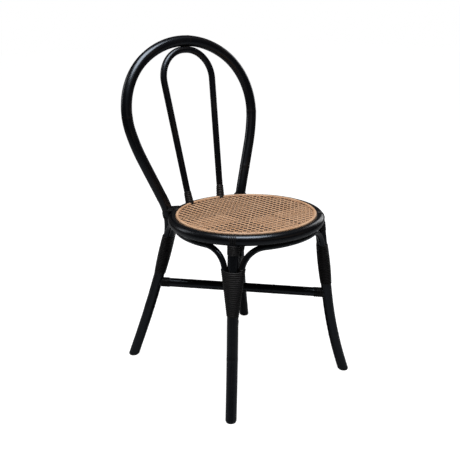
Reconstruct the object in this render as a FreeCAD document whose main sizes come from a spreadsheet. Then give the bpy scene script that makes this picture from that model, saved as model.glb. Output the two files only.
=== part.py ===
"""Bistro chair of bent rattan poles bound with rattan peel, with a round cane seat.

The origin is on the floor under the middle of the chair, +Z is up and the sitter faces -Y.
A pole that is bent in space is swept along straight runs joined by tangent arcs. Everything that
belongs to the seat is placed in the ring's own plane, which slopes down a little to the back.
"""
import FreeCAD, Part
import math
import os
import Sketcher

Vector = FreeCAD.Vector
Rotation = FreeCAD.Rotation
Placement = FreeCAD.Placement

# driving dimensions, in millimetres and degrees
SIZES = {
    "seat_centre_y": -38.5,      # ring's axis, in front of the middle of the whole chair
    "seat_height": 434.4,        # ring's centre line, at its axis
    "seat_slope": 1.25,          # degrees, down to the back
    "ring_radius": 188.8,
    "ring_pole": 27.0,
    "hoop_pole": 28.4,           # back hoop and rear legs, one pole
    "hoop_rake": 11.75,          # degrees, back from upright
    "hoop_plane_y": 175.1,       # hoop's plane behind the ring's axis, at seat height
    "crown_rise": 441.6,         # hoop's centre line above the seat, along its plane
    "crown_radius": 227.3,
    "crown_turn": 34.3,          # degrees of arc, each side of the top
    "side_radius": 178.1,
    "side_turn": 67.3,
    "shoulder_radius": 463.0,
    "shoulder_turn": 9.9,
    "bend_drop": 23.9,           # corner where the hoop turns into the rear leg, below the seat
    "bend_radius": 170.0,
    "rear_knee_x": 155.0,
    "rear_knee_y": 215.0,
    "rear_knee_height": 186.0,
    "rear_knee_radius": 2800.0,
    "rear_foot_x": 207.8,
    "rear_foot_y": 255.7,
    "inner_pole": 17.8,
    "inner_foot_x": 52.5,
    "inner_splay": 4.5,          # degrees, each side leans out
    "inner_crown_radius": 76.5,
    "front_angle": 41.1,         # degrees, front leg's place on the ring, from the X axis
    "front_pole": 27.6,
    "front_knee_x": 172.5,
    "front_knee_y": 155.5,
    "front_knee_height": 118.0,
    "front_knee_radius": 1150.0,
    "front_foot_x": 199.4,
    "front_foot_y": 183.6,
    "brace_pole": 14.8,
    "brace_run_radius": 182.0,   # the run under the ring, just inside the ring's centre line
    "brace_arch_radius": 60.0,
    "brace_flank": 20.3,         # brace's centre line beside the leg's
    "brace_end_height": 256.0,
    "brace_tip": 2.0,            # thickness left where its end is pared against the leg
    "stretcher_pole": 24.6,
    "stretcher_height": 226.0,
    "cane_spline": 7.4,          # round reed that borders the cane
    "cane_spline_radius": 178.3,
    "cane_spline_rise": 12.2,    # its centre above the ring's
    "cane_thickness": 1.8,
    "cane_top_rise": 11.4,
    "peel": 1.3,                 # thickness of a layer of wound peel
    "wrap_bottom_height": 254.0,
    "wrap_top_height": 364.0,
    "collar_length": 20.0,
    "collar_gap": 1.0,
    "strand_width": 2.9,
    "strand_pitch": 3.3,
    "binding_length": 24.0,
    "foot_wrap_length": 36.0,
    "foot_wrap_flare": 3.0,
    "lash_width": 9.0,
    "glide_height": 3.0,
    "glide_diameter": 25.0,
}

doc = FreeCAD.newDocument("bistro_chair")
sheet = doc.addObject("Spreadsheet::Sheet", "Sizes")
for row, (alias, number) in enumerate(SIZES.items(), start=1):
    sheet.set(f"A{row}", alias)
    sheet.set(f"B{row}", str(number))
    sheet.setAlias(f"B{row}", alias)
doc.recompute()


def size(alias):
    """A driving dimension, read back from the sheet."""
    return float(sheet.get(alias))


def mm(alias, scale=""):
    """The expression that binds a property to a driving dimension."""
    return f"Sizes.{alias}{scale}"


RING_R = size("ring_radius")
RING_POLE_R = size("ring_pole") / 2
HOOP_POLE_R = size("hoop_pole") / 2
INNER_POLE_R = size("inner_pole") / 2
FRONT_POLE_R = size("front_pole") / 2
BRACE_POLE_R = size("brace_pole") / 2
STRETCHER_POLE_R = size("stretcher_pole") / 2
PEEL = size("peel")
SEAT_Y = size("seat_centre_y")
SEAT_Z = size("seat_height")
SIDES = {"left": -1, "right": 1}
ring_plane = Placement(Vector(0, SEAT_Y, SEAT_Z), Rotation(Vector(1, 0, 0), -size("seat_slope")))
hoop_plane = Placement(Vector(0, SEAT_Y + size("hoop_plane_y"), SEAT_Z),
                       Rotation(Vector(1, 0, 0), -size("hoop_rake")))


def chair_point(x, y, z):
    """A point given from the seat's axis, in the chair's frame."""
    return Vector(x, y + SEAT_Y, z)


def mirrored(point, side):
    """The point on the left or right of the chair, from the one on the right."""
    return Vector(point.x * side, point.y, point.z)


def on_ring(radius, degrees, level=0.0):
    """A point in the ring's plane, by its radius and its angle from the X axis."""
    angle = math.radians(degrees)
    return ring_plane.multVec(Vector(radius * math.cos(angle), radius * math.sin(angle), level))


def point_at_height(start, end, height):
    """Where the line through two points is at a height."""
    share = (height - start.z) / (end.z - start.z)
    return start + (end - start) * share


def axes_frame(origin, z_axis, x_axis):
    """A placement with its Z axis along one direction and its X axis nearest to another."""
    z_unit = Vector(z_axis).normalize()
    y_unit = z_unit.cross(x_axis).normalize()
    return Placement(origin, Rotation(y_unit.cross(z_unit), y_unit, z_unit, "ZYX"))


def rounded_path(corners, radii):
    """Straight runs between the corners, each inner corner turned by a tangent arc."""
    edges = []
    last = corners[0]
    for before, corner, after, radius in zip(corners, corners[1:], corners[2:], radii):
        back = (before - corner).normalize()
        ahead = (after - corner).normalize()
        half_turn = (math.pi - back.getAngle(ahead)) / 2
        run = radius * math.tan(half_turn)
        bisector = (back + ahead).normalize()
        start = corner + back * run
        end = corner + ahead * run
        middle = corner + bisector * (radius / math.cos(half_turn) - radius)
        if (start - last).Length > 0.01:
            edges.append(Part.LineSegment(last, start).toShape())
        edges.append(Part.Arc(start, middle, end).toShape())
        last = end
    edges.append(Part.LineSegment(last, corners[-1]).toShape())
    return Part.Wire(edges)


def add_pole(name, corners, radii, pole):
    """A bent pole: a round section swept along a rounded path."""
    path = doc.addObject("Part::Feature", name + "_path")
    path.Shape = rounded_path(corners, radii)
    section = doc.addObject("Part::Circle", name + "_section")
    section.setExpression("Radius", mm(pole, " / 2"))
    section.Placement = axes_frame(corners[0], corners[1] - corners[0], Vector(1, 0, 0))
    sweep = doc.addObject("Part::Sweep", name + "_sweep")
    sweep.Sections = [section]
    sweep.Spine = (path, [f"Edge{i + 1}" for i in range(len(path.Shape.Edges))])
    sweep.Solid = True
    return sweep


def add_body(name, placement):
    body = doc.addObject("PartDesign::Body", name)
    body.Placement = placement
    return body


def add_sketch(body, name, role, lift=None):
    """A sketch on one of the body's own origin planes, or lifted off it by a driving length."""
    sketch = body.newObject("Sketcher::SketchObject", name)
    plane = next(item for item in body.Origin.OriginFeatures if item.Role == role)
    sketch.AttachmentSupport = [(plane, "")]
    sketch.MapMode = "FlatFace"
    if lift:
        sketch.setExpression("AttachmentOffset.Base.z", lift)
    return sketch


def bind(sketch, constraint, expression):
    index = sketch.addConstraint(constraint)
    sketch.setExpression(f"Constraints[{index}]", expression)


def draw_circle(sketch, radius, expression, centre=(0.0, 0.0), centre_expressions=(None, None)):
    """A circle with a bound radius, and its centre on the origin or at bound distances."""
    place = Vector(centre[0], centre[1], 0)
    index = sketch.addGeometry(Part.Circle(place, Vector(0, 0, 1), radius), False)
    bind(sketch, Sketcher.Constraint("Radius", index, radius), expression)
    for kind, value, bound in zip(("DistanceX", "DistanceY"), centre, centre_expressions):
        constraint = Sketcher.Constraint(kind, -1, 1, index, 3, value)
        if bound:
            bind(sketch, constraint, bound)
        else:
            sketch.addConstraint(constraint)


def draw_polygon(sketch, corners):
    """A closed outline of straight lines through the corners, each corner held where it is."""
    points = [Vector(x, y, 0) for x, y in corners]
    for index, start in enumerate(points):
        sketch.addGeometry(Part.LineSegment(start, points[(index + 1) % len(points)]), False)
    for index, start in enumerate(points):
        sketch.addConstraint(Sketcher.Constraint("Coincident", index, 2, (index + 1) % len(points), 1))
        sketch.addConstraint(Sketcher.Constraint("DistanceX", -1, 1, index, 1, start.x))
        sketch.addConstraint(Sketcher.Constraint("DistanceY", -1, 1, index, 1, start.y))


def add_pad(body, sketch, length, midplane=False):
    pad = body.newObject("PartDesign::Pad", sketch.Name + "_pad")
    pad.Profile = sketch
    pad.setExpression("Length", length)
    pad.Midplane = midplane
    return pad


def add_revolution(body, sketch, kind="PartDesign::Revolution"):
    """A full turn of the sketch about its own upright axis."""
    turned = body.newObject(kind, sketch.Name + "_turned")
    turned.Profile = sketch
    turned.ReferenceAxis = (sketch, ["V_Axis"])
    turned.Angle = 360
    return turned


def add_sleeve(name, placement, bore, wall, length, midplane=False):
    """A straight sleeve of wound peel, from its bore radius, its wall and its length."""
    body = add_body(name, placement)
    sketch = add_sketch(body, name + "_ring", "XY_Plane")
    draw_circle(sketch, 1.0, bore)
    draw_circle(sketch, 2.0, f"{bore} + {wall}")
    add_pad(body, sketch, length, midplane)
    return body


def add_cylinder(name, radius, length, placement):
    cylinder = doc.addObject("Part::Cylinder", name)
    cylinder.Radius = radius
    cylinder.Height = length
    cylinder.Placement = placement
    return cylinder


nodes = []


def cut_away(name, base, tools):
    """The base with each tool cut away from it in turn."""
    for tool in tools:
        cut = doc.addObject("Part::Cut", f"{name}_less_{tool.Name}")
        cut.Base = base
        cut.Tool = tool
        base = cut
    return base


def add_node(name, base, tools=()):
    """A finished piece: the base, with what it fits against cut away from it."""
    piece = cut_away(name, base, tools)
    piece.Label = name
    nodes.append(piece)
    return piece


def add_group(name, pieces):
    """Like pieces that share a node, as separate solids."""
    group = doc.addObject("Part::Compound", name)
    group.Links = pieces
    group.Label = name
    nodes.append(group)
    return group


# seat ring, with the channel that the cane is pressed into

SPLINE_R = size("cane_spline") / 2
SPLINE_CENTRE = (size("cane_spline_radius"), size("cane_spline_rise"))


def add_ring_solid(name, pole_radius, expression):
    body = add_body(name, ring_plane)
    sketch = add_sketch(body, name + "_section", "XZ_Plane")
    draw_circle(sketch, pole_radius, expression, (RING_R, 0.0), (mm("ring_radius"), None))
    add_revolution(body, sketch)
    return body


channelled_ring = add_ring_solid("channelled_ring", RING_POLE_R, mm("ring_pole", " / 2"))
channel = add_sketch(channelled_ring, "channel", "XZ_Plane")
draw_circle(channel, SPLINE_R, mm("cane_spline", " / 2"), SPLINE_CENTRE,
            (mm("cane_spline_radius"), mm("cane_spline_rise")))
add_revolution(channelled_ring, channel, "PartDesign::Groove")
plain_ring = add_ring_solid("plain_ring", RING_POLE_R, mm("ring_pole", " / 2"))

# back hoop and rear legs, one pole from foot to foot


def heading_step(place, heading, distance):
    """A step in the hoop's plane, with the heading in degrees below the X axis."""
    angle = math.radians(heading)
    return (place[0] + distance * math.cos(angle), place[1] - distance * math.sin(angle))


def hoop_corners():
    """Corners of the hoop's right half, from the crown down to the seat, in its plane."""
    crown_turn = size("crown_turn")
    crown_r = size("crown_radius")
    top = size("crown_rise")
    crown = (0.0, top - crown_r + crown_r / math.cos(math.radians(crown_turn)))
    place = heading_step((0.0, top), crown_turn / 2, 2 * crown_r * math.sin(math.radians(crown_turn / 2)))
    heading = crown_turn
    found = [crown]
    for part in ("side", "shoulder"):
        turn = size(part + "_turn")
        reach = size(part + "_radius") * math.tan(math.radians(turn / 2))
        corner = heading_step(place, heading, reach)
        heading += turn
        place = heading_step(corner, heading, reach)
        found.append(corner)
    drop = place[1] + size("bend_drop")
    found.append((place[0] - drop / math.tan(math.radians(heading - 90) + math.pi / 2) * -1, place[1] - drop))
    return found


crown_corner, side_corner, shoulder_corner, bend_corner = [
    hoop_plane.multVec(Vector(x, 0, rise)) for x, rise in hoop_corners()]
rear_knee = chair_point(size("rear_knee_x"), size("rear_knee_y"), size("rear_knee_height"))
rear_foot = chair_point(size("rear_foot_x"), size("rear_foot_y"), 0)
rear_leg_end = point_at_height(rear_knee, rear_foot, -HOOP_POLE_R)
half_corners = [rear_leg_end, rear_knee, bend_corner, shoulder_corner, side_corner]
half_radii = [size("rear_knee_radius"), size("bend_radius"), size("shoulder_radius"), size("side_radius")]
hoop_pole = add_pole(
    "hoop_pole",
    [mirrored(corner, -1) for corner in half_corners] + [crown_corner] + half_corners[::-1],
    half_radii + [size("crown_radius")] + half_radii[::-1],
    "hoop_pole")

# inner hoop, in the same plane, its crown against the back hoop

FOOT_SINK = 2.0  # how far its feet are let into the ring, from the top of the cane

inner_crown = size("crown_rise") - HOOP_POLE_R - INNER_POLE_R
inner_half_width = size("inner_foot_x") + inner_crown * math.tan(math.radians(size("inner_splay")))
inner_base = hoop_plane.multVec(Vector(size("inner_foot_x"), 0, 0))
inner_corner = hoop_plane.multVec(Vector(inner_half_width, 0, inner_crown))
inner_lean = (inner_corner - inner_base).normalize()
foot_rise = size("cane_top_rise") - FOOT_SINK - ring_plane.inverse().multVec(inner_base).z
inner_foot = inner_base + inner_lean * foot_rise
inner_pole = add_pole(
    "inner_pole",
    [mirrored(inner_foot, -1), mirrored(inner_corner, -1), inner_corner, inner_foot],
    [size("inner_crown_radius")] * 2,
    "inner_pole")

# front legs, coped to the underside of the ring

front_top = on_ring(RING_R, -size("front_angle"))
front_knee = chair_point(size("front_knee_x"), -size("front_knee_y"), size("front_knee_height"))
front_foot = chair_point(size("front_foot_x"), -size("front_foot_y"), 0)
front_leg_end = point_at_height(front_knee, front_foot, -FRONT_POLE_R)
leg_poles = {"rear_left": hoop_pole, "rear_right": hoop_pole}
for side_name, side in SIDES.items():
    leg_poles["front_" + side_name] = add_pole(
        "front_pole_" + side_name,
        [mirrored(point, side) for point in (front_leg_end, front_knee, front_top)],
        [size("front_knee_radius")],
        "front_pole")

floor_cutter = doc.addObject("Part::Box", "floor_cutter")
floor_cutter.Length = 600
floor_cutter.Width = 700
floor_cutter.Height = 100
floor_cutter.Placement.Base = Vector(-300, -350, size("glide_height") - 100)

# the straight upper stretch of each leg, which its wrap and its braces follow


class LegLine:
    """The straight stretch of a leg under the seat, by two points on its centre line."""

    def __init__(self, upper, lower, foot, pole_radius):
        self.upper = upper
        self.lower = lower
        self.foot = foot
        self.pole_radius = pole_radius
        self.down = (lower - upper).normalize()
        outward = Vector(upper.x, upper.y - SEAT_Y, 0).normalize()
        self.flank = Vector(-outward.y, outward.x, 0)

    def at(self, height):
        return point_at_height(self.upper, self.lower, height)


legs = {}
for side_name, side in SIDES.items():
    legs["front_" + side_name] = LegLine(mirrored(front_top, side), mirrored(front_knee, side),
                                         mirrored(front_foot, side), FRONT_POLE_R)
    legs["rear_" + side_name] = LegLine(mirrored(bend_corner, side), mirrored(rear_knee, side),
                                        mirrored(rear_foot, side), HOOP_POLE_R)

# braces: out of one leg's wrap, up and over, along the ring's underside and down to the next leg

BRACE_RUN_R = size("brace_run_radius")
BRACE_LEVEL = -math.sqrt((RING_POLE_R + BRACE_POLE_R) ** 2 - (RING_R - BRACE_RUN_R) ** 2)
BRACES = {
    "front": ("front_left", "front_right"),
    "right": ("front_right", "rear_right"),
    "back": ("rear_right", "rear_left"),
    "left": ("rear_left", "front_left"),
}


def brace_end(leg, toward):
    """Corner and tip of a brace beside a leg; toward is 1 or -1, round the ring."""
    flank = leg.flank * (toward * size("brace_flank"))
    level_point = leg.at(SEAT_Z + BRACE_LEVEL)
    return level_point + flank, leg.at(size("brace_end_height")) + flank


brace_middles = {}
brace_poles = {}
for brace_name, ends in BRACES.items():
    first, second = legs[ends[0]], legs[ends[1]]
    first_corner, first_tip = brace_end(first, 1)
    second_corner, second_tip = brace_end(second, -1)
    corners = [first_tip, first_corner, second_corner, second_tip]
    radii = [size("brace_arch_radius")] * 2
    from_axis = [ring_plane.inverse().multVec(corner) for corner in (first_corner, second_corner)]
    reach = [math.acos(BRACE_RUN_R / math.hypot(point.x, point.y)) for point in from_axis]
    angle = [math.atan2(point.y, point.x) for point in from_axis]
    if angle[1] < angle[0]:
        angle[1] += 2 * math.pi
    arc_half = (angle[1] - reach[1] - angle[0] - reach[0]) / 2
    arc_middle = angle[0] + reach[0] + arc_half
    if arc_half > 0:
        turn_corner = on_ring(BRACE_RUN_R / math.cos(arc_half), math.degrees(arc_middle), BRACE_LEVEL)
        corners.insert(2, turn_corner)
        radii.insert(1, BRACE_RUN_R)
    brace_middles[brace_name] = math.degrees(arc_middle)
    brace_poles[brace_name] = add_pole("brace_pole_" + brace_name, corners, radii, "brace_pole")

# the space inside each leg's wrap, which tapers down to the leg and which the brace ends fill

WRAP_LENGTH = size("wrap_top_height") - size("wrap_bottom_height")
WRAP_SLACK = 0.3


def add_taper(name, leg, grow):
    """A solid round a leg: oval over the brace ends above, narrowing down to the leg."""
    bottom = leg.at(size("wrap_bottom_height"))
    length = WRAP_LENGTH / abs(leg.down.z)
    body = add_body(name, axes_frame(bottom, leg.down * -1, leg.flank))
    depth = leg.pole_radius + WRAP_SLACK + grow
    widths = (leg.pole_radius + size("brace_tip"), size("brace_flank") + BRACE_POLE_R)
    sections = []
    for level, width in zip((0.0, length), widths):
        section = add_sketch(body, f"{name}_section_{len(sections)}", "XY_Plane", str(level))
        oval = Part.Ellipse(Vector(width + WRAP_SLACK + grow, 0, 0), Vector(0, depth, 0), Vector(0, 0, 0))
        section.addGeometry(oval, False)
        sections.append(section)
    loft = body.newObject("PartDesign::AdditiveLoft", name + "_loft")
    loft.Profile = sections[0]
    loft.Sections = sections[1:]
    body.Tip = loft
    return body


wrap_cores = {}
paring_blocks = {}
for key, leg in legs.items():
    wrap_cores[key] = add_taper("wrap_core_" + key, leg, 0.0)
    block = doc.addObject("Part::Box", "block_" + key)
    block.Length = 100
    block.Width = 60
    block.Height = WRAP_LENGTH
    frame_at = wrap_cores[key].Placement
    block.Placement = Placement(frame_at.multVec(Vector(-50, -30, 0)), frame_at.Rotation)
    paring_blocks[key] = cut_away("paring_block_" + key, block, [wrap_cores[key]])

# stretchers: two poles that cross on the chair's centre line, halved into each other


def add_stretcher(name, start, end, crossing, notch_up):
    """A straight pole between two leg centre lines, notched where the other one crosses."""
    along = end - start
    other = Vector(-along.x, along.y, 0)
    placement = axes_frame(start, along, Vector(0, 0, 1).cross(along))
    body = add_body(name, placement)
    section = add_sketch(body, name + "_section", "XY_Plane")
    draw_circle(section, STRETCHER_POLE_R, mm("stretcher_pole", " / 2"))
    add_pad(body, section, str(along.Length))
    local = placement.inverse()
    middle = local.multVec(crossing)
    other_way = local.Rotation.multVec(other).normalize()
    sideways = Vector(other_way.z, 0, -other_way.x)
    reach = 2 * STRETCHER_POLE_R
    outline = []
    for a, b in ((-1, -1), (1, -1), (1, 1), (-1, 1)):
        corner = middle + other_way * (a * reach) + sideways * (b * STRETCHER_POLE_R)
        outline.append((corner.x, corner.z))
    notch = add_sketch(body, name + "_notch", "XZ_Plane")
    draw_polygon(notch, outline)
    pocket = body.newObject("PartDesign::Pocket", name + "_halving")
    pocket.Profile = notch
    pocket.Length = 2 * STRETCHER_POLE_R
    pocket.Reversed = notch_up
    return body


stretcher_z = size("stretcher_height")
stretcher_ends = {key: leg.at(stretcher_z) for key, leg in legs.items()}
crossing = point_at_height(Vector(0, 0, 0), Vector(0, 0, 1), stretcher_z)
rear_end, front_end = stretcher_ends["rear_right"], stretcher_ends["front_right"]
crossing.y = rear_end.y + (front_end.y - rear_end.y) * rear_end.x / (rear_end.x + front_end.x)
stretchers = {
    "stretcher_left": ("rear_left", "front_right", True),
    "stretcher_right": ("rear_right", "front_left", False),
}
stretcher_bodies = {}
for name, (rear, front, notch_up) in stretchers.items():
    stretcher_bodies[name] = add_stretcher(name + "_pole", stretcher_ends[rear], stretcher_ends[front],
                                           crossing, notch_up)

# pins and screws that the joints hide

SCREW_SHANK_R = 2.0
SCREW_HEAD_R = 4.0
SCREW_HEAD_LENGTH = 3.0
DOWEL_R = 4.0
INNER_DOWEL_R = 3.0
INNER_DOWEL_OFFSET = Vector(0, 4.5, 0)
NAIL_R = 1.1


def add_screw(name, head, direction, length):
    """A countersunk wood screw, from the middle of its head."""
    body = add_body(name, axes_frame(head, direction, Vector(1, 0, 0.2)))
    sketch = add_sketch(body, name + "_half", "XZ_Plane")
    draw_polygon(sketch, [(0, 0), (SCREW_HEAD_R, 0), (SCREW_SHANK_R, SCREW_HEAD_LENGTH),
                          (SCREW_SHANK_R, length - 4), (0, length)])
    add_revolution(body, sketch)
    return body


def outward_of(point):
    """Level direction from the seat's axis to a point."""
    return Vector(point.x, point.y - SEAT_Y, 0).normalize()


leg_screws = []
hoop_screws = []
inner_dowels = []
stretcher_dowels = {}
glide_nails = {}
glides = {}
for side_name, side in SIDES.items():
    top = mirrored(front_top, side)
    leg_screws.append(add_screw("leg_screw_" + side_name, top + Vector(0, 0, RING_POLE_R - 0.5),
                                Vector(0, 0, -1), 60.0))
    foot = mirrored(inner_foot, side)
    lean = (mirrored(inner_corner, side) - foot).normalize()
    inner_dowels.append(add_cylinder("inner_dowel_" + side_name, INNER_DOWEL_R, 44.0,
                                     axes_frame(foot + INNER_DOWEL_OFFSET - lean * 6, lean, Vector(1, 0, 0))))
doc.recompute()
crown = hoop_plane.multVec(Vector(0, 0, inner_crown))
crown_up = hoop_plane.Rotation.multVec(Vector(0, 0, 1))
crown_pin = add_cylinder("crown_pin_round", 2.5, 24.0, axes_frame(crown - crown_up * 4, crown_up, Vector(1, 0, 0)))

ring_line = Part.Wire([Part.Circle(Vector(0, 0, 0), Vector(0, 0, 1), RING_R).toShape()])
ring_line.Placement = ring_plane
hoop_line = doc.getObject("hoop_pole_path").Shape
gap, contact_pairs, _ = ring_line.distToShape(hoop_line)
print(f"ring to hoop centre lines {gap:.2f} mm, poles touch at {RING_POLE_R + HOOP_POLE_R:.2f} mm")
ring_touch, hoop_touch = contact_pairs[0]
ring_touch = Vector(abs(ring_touch.x), ring_touch.y, ring_touch.z)
hoop_touch = Vector(abs(hoop_touch.x), hoop_touch.y, hoop_touch.z)
for side_name, side in SIDES.items():
    inward = (mirrored(ring_touch, side) - mirrored(hoop_touch, side)).normalize()
    head = mirrored(hoop_touch, side) - inward * (HOOP_POLE_R - 0.5)
    hoop_screws.append(add_screw("hoop_screw_" + side_name, head, inward, 46.0))

for rear, front, _ in stretchers.values():
    run = (stretcher_ends[front] - stretcher_ends[rear]).normalize()
    for key, way in ((rear, run), (front, run * -1)):
        stretcher_dowels[key] = add_cylinder("stretcher_dowel_" + key, DOWEL_R, 44.0,
                                             axes_frame(stretcher_ends[key] - way * 4, way, Vector(0, 0, 1)))

for key, leg in legs.items():
    base = Vector(leg.foot.x, leg.foot.y, 0)
    body = add_body("glide_" + key + "_disc", Placement(base, Rotation()))
    sketch = add_sketch(body, "glide_" + key + "_round", "XY_Plane")
    draw_circle(sketch, size("glide_diameter") / 2, mm("glide_diameter", " / 2"))
    glides[key] = body
    pad = add_pad(body, sketch, mm("glide_height"))
    doc.recompute()
    edge = body.newObject("PartDesign::Fillet", "glide_" + key + "_edge")
    edge.Base = (pad, ["Face3"])
    edge.Radius = 0.8
    body.Tip = edge
    glide_nails[key] = add_cylinder("glide_nail_" + key, NAIL_R, 15.0,
                                    Placement(base + Vector(0, 0, 1), Rotation()))

brace_nails = {}
for brace_name, middle in brace_middles.items():
    start = on_ring(BRACE_RUN_R, middle, BRACE_LEVEL - BRACE_POLE_R + 3)
    way = on_ring(RING_R, middle) - start
    brace_nails[brace_name] = add_cylinder("brace_nail_" + brace_name, NAIL_R, 24.0,
                                           axes_frame(start, way, Vector(0, 0, 1)))

# the poles, with what they meet and hold cut away

cane_border = add_body("cane_border", ring_plane)
sketch = add_sketch(cane_border, "cane_border_section", "XZ_Plane")
draw_circle(sketch, SPLINE_R, mm("cane_spline", " / 2"), SPLINE_CENTRE,
            (mm("cane_spline_radius"), mm("cane_spline_rise")))
add_revolution(cane_border, sketch)
cane_disc = add_body("cane_disc", ring_plane)
sketch = add_sketch(cane_disc, "cane_disc_round", "XY_Plane", mm("cane_top_rise", " - Sizes.cane_thickness"))
draw_circle(sketch, SPLINE_CENTRE[0], mm("cane_spline_radius"))
add_pad(cane_disc, sketch, mm("cane_thickness"))
seat_pieces = [plain_ring, cane_border, cane_disc]

add_node("seat_ring", channelled_ring, leg_screws + hoop_screws + inner_dowels + list(brace_nails.values()))
add_node("back_hoop", hoop_pole, [floor_cutter, crown_pin] + hoop_screws
         + [stretcher_dowels[key] for key in legs if key.startswith("rear")]
         + [glide_nails[key] for key in legs if key.startswith("rear")])
add_node("inner_hoop", inner_pole, seat_pieces + [crown_pin] + inner_dowels)
for screw, side_name in zip(leg_screws, SIDES):
    key = "front_" + side_name
    add_node("front_leg_" + side_name, leg_poles[key],
             [floor_cutter, plain_ring, screw, stretcher_dowels[key], glide_nails[key]])
for brace_name, ends in BRACES.items():
    cutters = [paring_blocks[key] for key in ends] + [leg_poles[key] for key in ends]
    if brace_name == "back":
        cutters.pop()
    add_node("brace_" + brace_name, brace_poles[brace_name],
             cutters + [plain_ring, brace_nails[brace_name]])
for name, (rear, front, _) in stretchers.items():
    add_node(name, stretcher_bodies[name], [leg_poles[rear], leg_poles[front],
                                            stretcher_dowels[rear], stretcher_dowels[front]])

# cane seat

add_node("cane_border", cane_border)
add_node("cane_panel", cane_disc, [cane_border])

# leg wraps: tapered sleeves of peel over each leg and its two brace ends

for key, leg in legs.items():
    add_node("leg_wrap_" + key, add_taper("wrap_" + key, leg, PEEL), [wrap_cores[key], leg_poles[key]])

# collars under the ring, and the strands of peel that tie the front legs to it

for side_name, side in SIDES.items():
    leg = legs["front_" + side_name]
    top = leg.at(SEAT_Z - RING_POLE_R + size("collar_gap"))
    collar = add_sleeve("collar_" + side_name, axes_frame(top, leg.down, Vector(1, 0, 0)),
                        mm("front_pole", " / 2"), mm("peel"), mm("collar_length"))
    add_node("leg_collar_" + side_name, collar, [plain_ring])
    strands = []
    for place in (-1.5, -0.5, 0.5, 1.5):
        shift = math.degrees(place * size("strand_pitch") / RING_R)
        width = math.degrees(size("strand_width") / RING_R)
        angle = -size("front_angle") if side > 0 else 180 + size("front_angle")
        strand = doc.addObject("Part::Torus", f"strand_{side_name}_{len(strands)}")
        strand.Radius1 = RING_R
        strand.setExpression("Radius2", "Sizes.ring_pole / 2 + 0.9")
        strand.Angle3 = width
        turn = Rotation(Vector(0, 0, 1), angle + shift - width / 2)
        strand.Placement = Placement(ring_plane.Base, ring_plane.Rotation.multiply(turn))
        strands.append(cut_away(strand.Name, strand, [plain_ring, collar, leg_poles["front_" + side_name],
                                                      cane_border, cane_disc]))
    add_group("ring_lashing_" + side_name, strands)

# lashings: bands of peel, crosswise round two poles that cross


def add_band(name, placement, reach, half_width, cap):
    """A closed band round two poles: straight sides and half ovals over each pole's far side.

    The ovals' centres are reach from the middle, along the band's X axis.
    """
    body = add_body(name, placement)
    sketch = add_sketch(body, name + "_outline", "XY_Plane")
    for grow in (0.0, PEEL):
        wide, far = half_width + grow, cap + grow
        for way in (1, -1):
            centre = Vector(way * reach, 0, 0)
            oval = Part.Ellipse(centre + Vector(0, wide * way, 0), centre - Vector(far * way, 0, 0), centre)
            sketch.addGeometry(Part.ArcOfEllipse(oval, math.pi, 2 * math.pi), False)
            sketch.addGeometry(Part.LineSegment(Vector(-reach, way * wide, 0), Vector(reach, way * wide, 0)),
                               False)
    add_pad(body, sketch, mm("lash_width"), True)
    return body


def add_cross_lashing(name, middle, outward, along, pole_radius, around):
    """Two bands that cross on the diagonals between two poles at right angles."""
    across = outward.cross(along)
    bands = []
    for slant in (1, -1):
        diagonal = (along + across * slant).normalize()
        bands.append(add_band(f"{name}_band_{len(bands)}", axes_frame(middle, outward.cross(diagonal), outward),
                              pole_radius, pole_radius * math.sqrt(2), pole_radius))
    both = doc.addObject("Part::MultiFuse", name + "_bands")
    both.Shapes = bands
    add_node(name, both, around)


for index, (side_name, side) in enumerate(SIDES.items()):
    ring_centre = mirrored(ring_touch, side)
    hoop_centre = mirrored(hoop_touch, side)
    outward = (hoop_centre - ring_centre).normalize()
    add_cross_lashing("hoop_lashing_" + side_name, (ring_centre + hoop_centre) * 0.5, outward,
                      outward.cross(Vector(0, 0, 1)).normalize(), (RING_POLE_R + HOOP_POLE_R) / 2,
                      seat_pieces + [hoop_pole, hoop_screws[index]])
# bindings on the stretchers' ends

for name, (rear, front, _) in stretchers.items():
    run = (stretcher_ends[front] - stretcher_ends[rear]).normalize()
    for key, way in ((rear, run), (front, run * -1)):
        start = stretcher_ends[key] + way * (legs[key].pole_radius - 3)
        sleeve = add_sleeve("binding_" + key, axes_frame(start, way, Vector(0, 0, 1)),
                            mm("stretcher_pole", " / 2"), mm("peel"), mm("binding_length"))
        add_node("stretcher_binding_" + key, sleeve, [leg_poles[key]])

# the lashing where the stretchers cross, halved into each other


def add_halving_lashing():
    """Two bands round the halved joint, one across each square of the crossing."""
    bands = []
    for way in (Vector(1, 0, 0), Vector(0, 1, 0)):
        placement = axes_frame(crossing, way.cross(Vector(0, 0, 1)), way)
        bands.append(add_band(f"crossing_band_{len(bands)}", placement,
                              STRETCHER_POLE_R * (math.sqrt(2) - 0.75), STRETCHER_POLE_R, STRETCHER_POLE_R * 0.9))
    both = doc.addObject("Part::MultiFuse", "crossing_bands")
    both.Shapes = bands
    add_node("crossing_lashing", both, list(stretcher_bodies.values()))


add_halving_lashing()

# wraps on the feet of the inner hoop, flared over the ring

for side_name, side in SIDES.items():
    foot = mirrored(inner_foot, side)
    lean = (mirrored(inner_corner, side) - foot).normalize()
    body = add_body("foot_wrap_body_" + side_name, axes_frame(foot - lean, lean, Vector(1, 0, 0)))
    sketch = add_sketch(body, "foot_wrap_half_" + side_name, "XZ_Plane")
    length = size("foot_wrap_length")
    draw_polygon(sketch, [(INNER_POLE_R, 0), (INNER_POLE_R + size("foot_wrap_flare"), 0),
                          (INNER_POLE_R + PEEL, length), (INNER_POLE_R, length)])
    add_revolution(body, sketch)
    add_node("hoop_foot_wrap_" + side_name, body, seat_pieces + [inner_pole])

# glides and fixings

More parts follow.
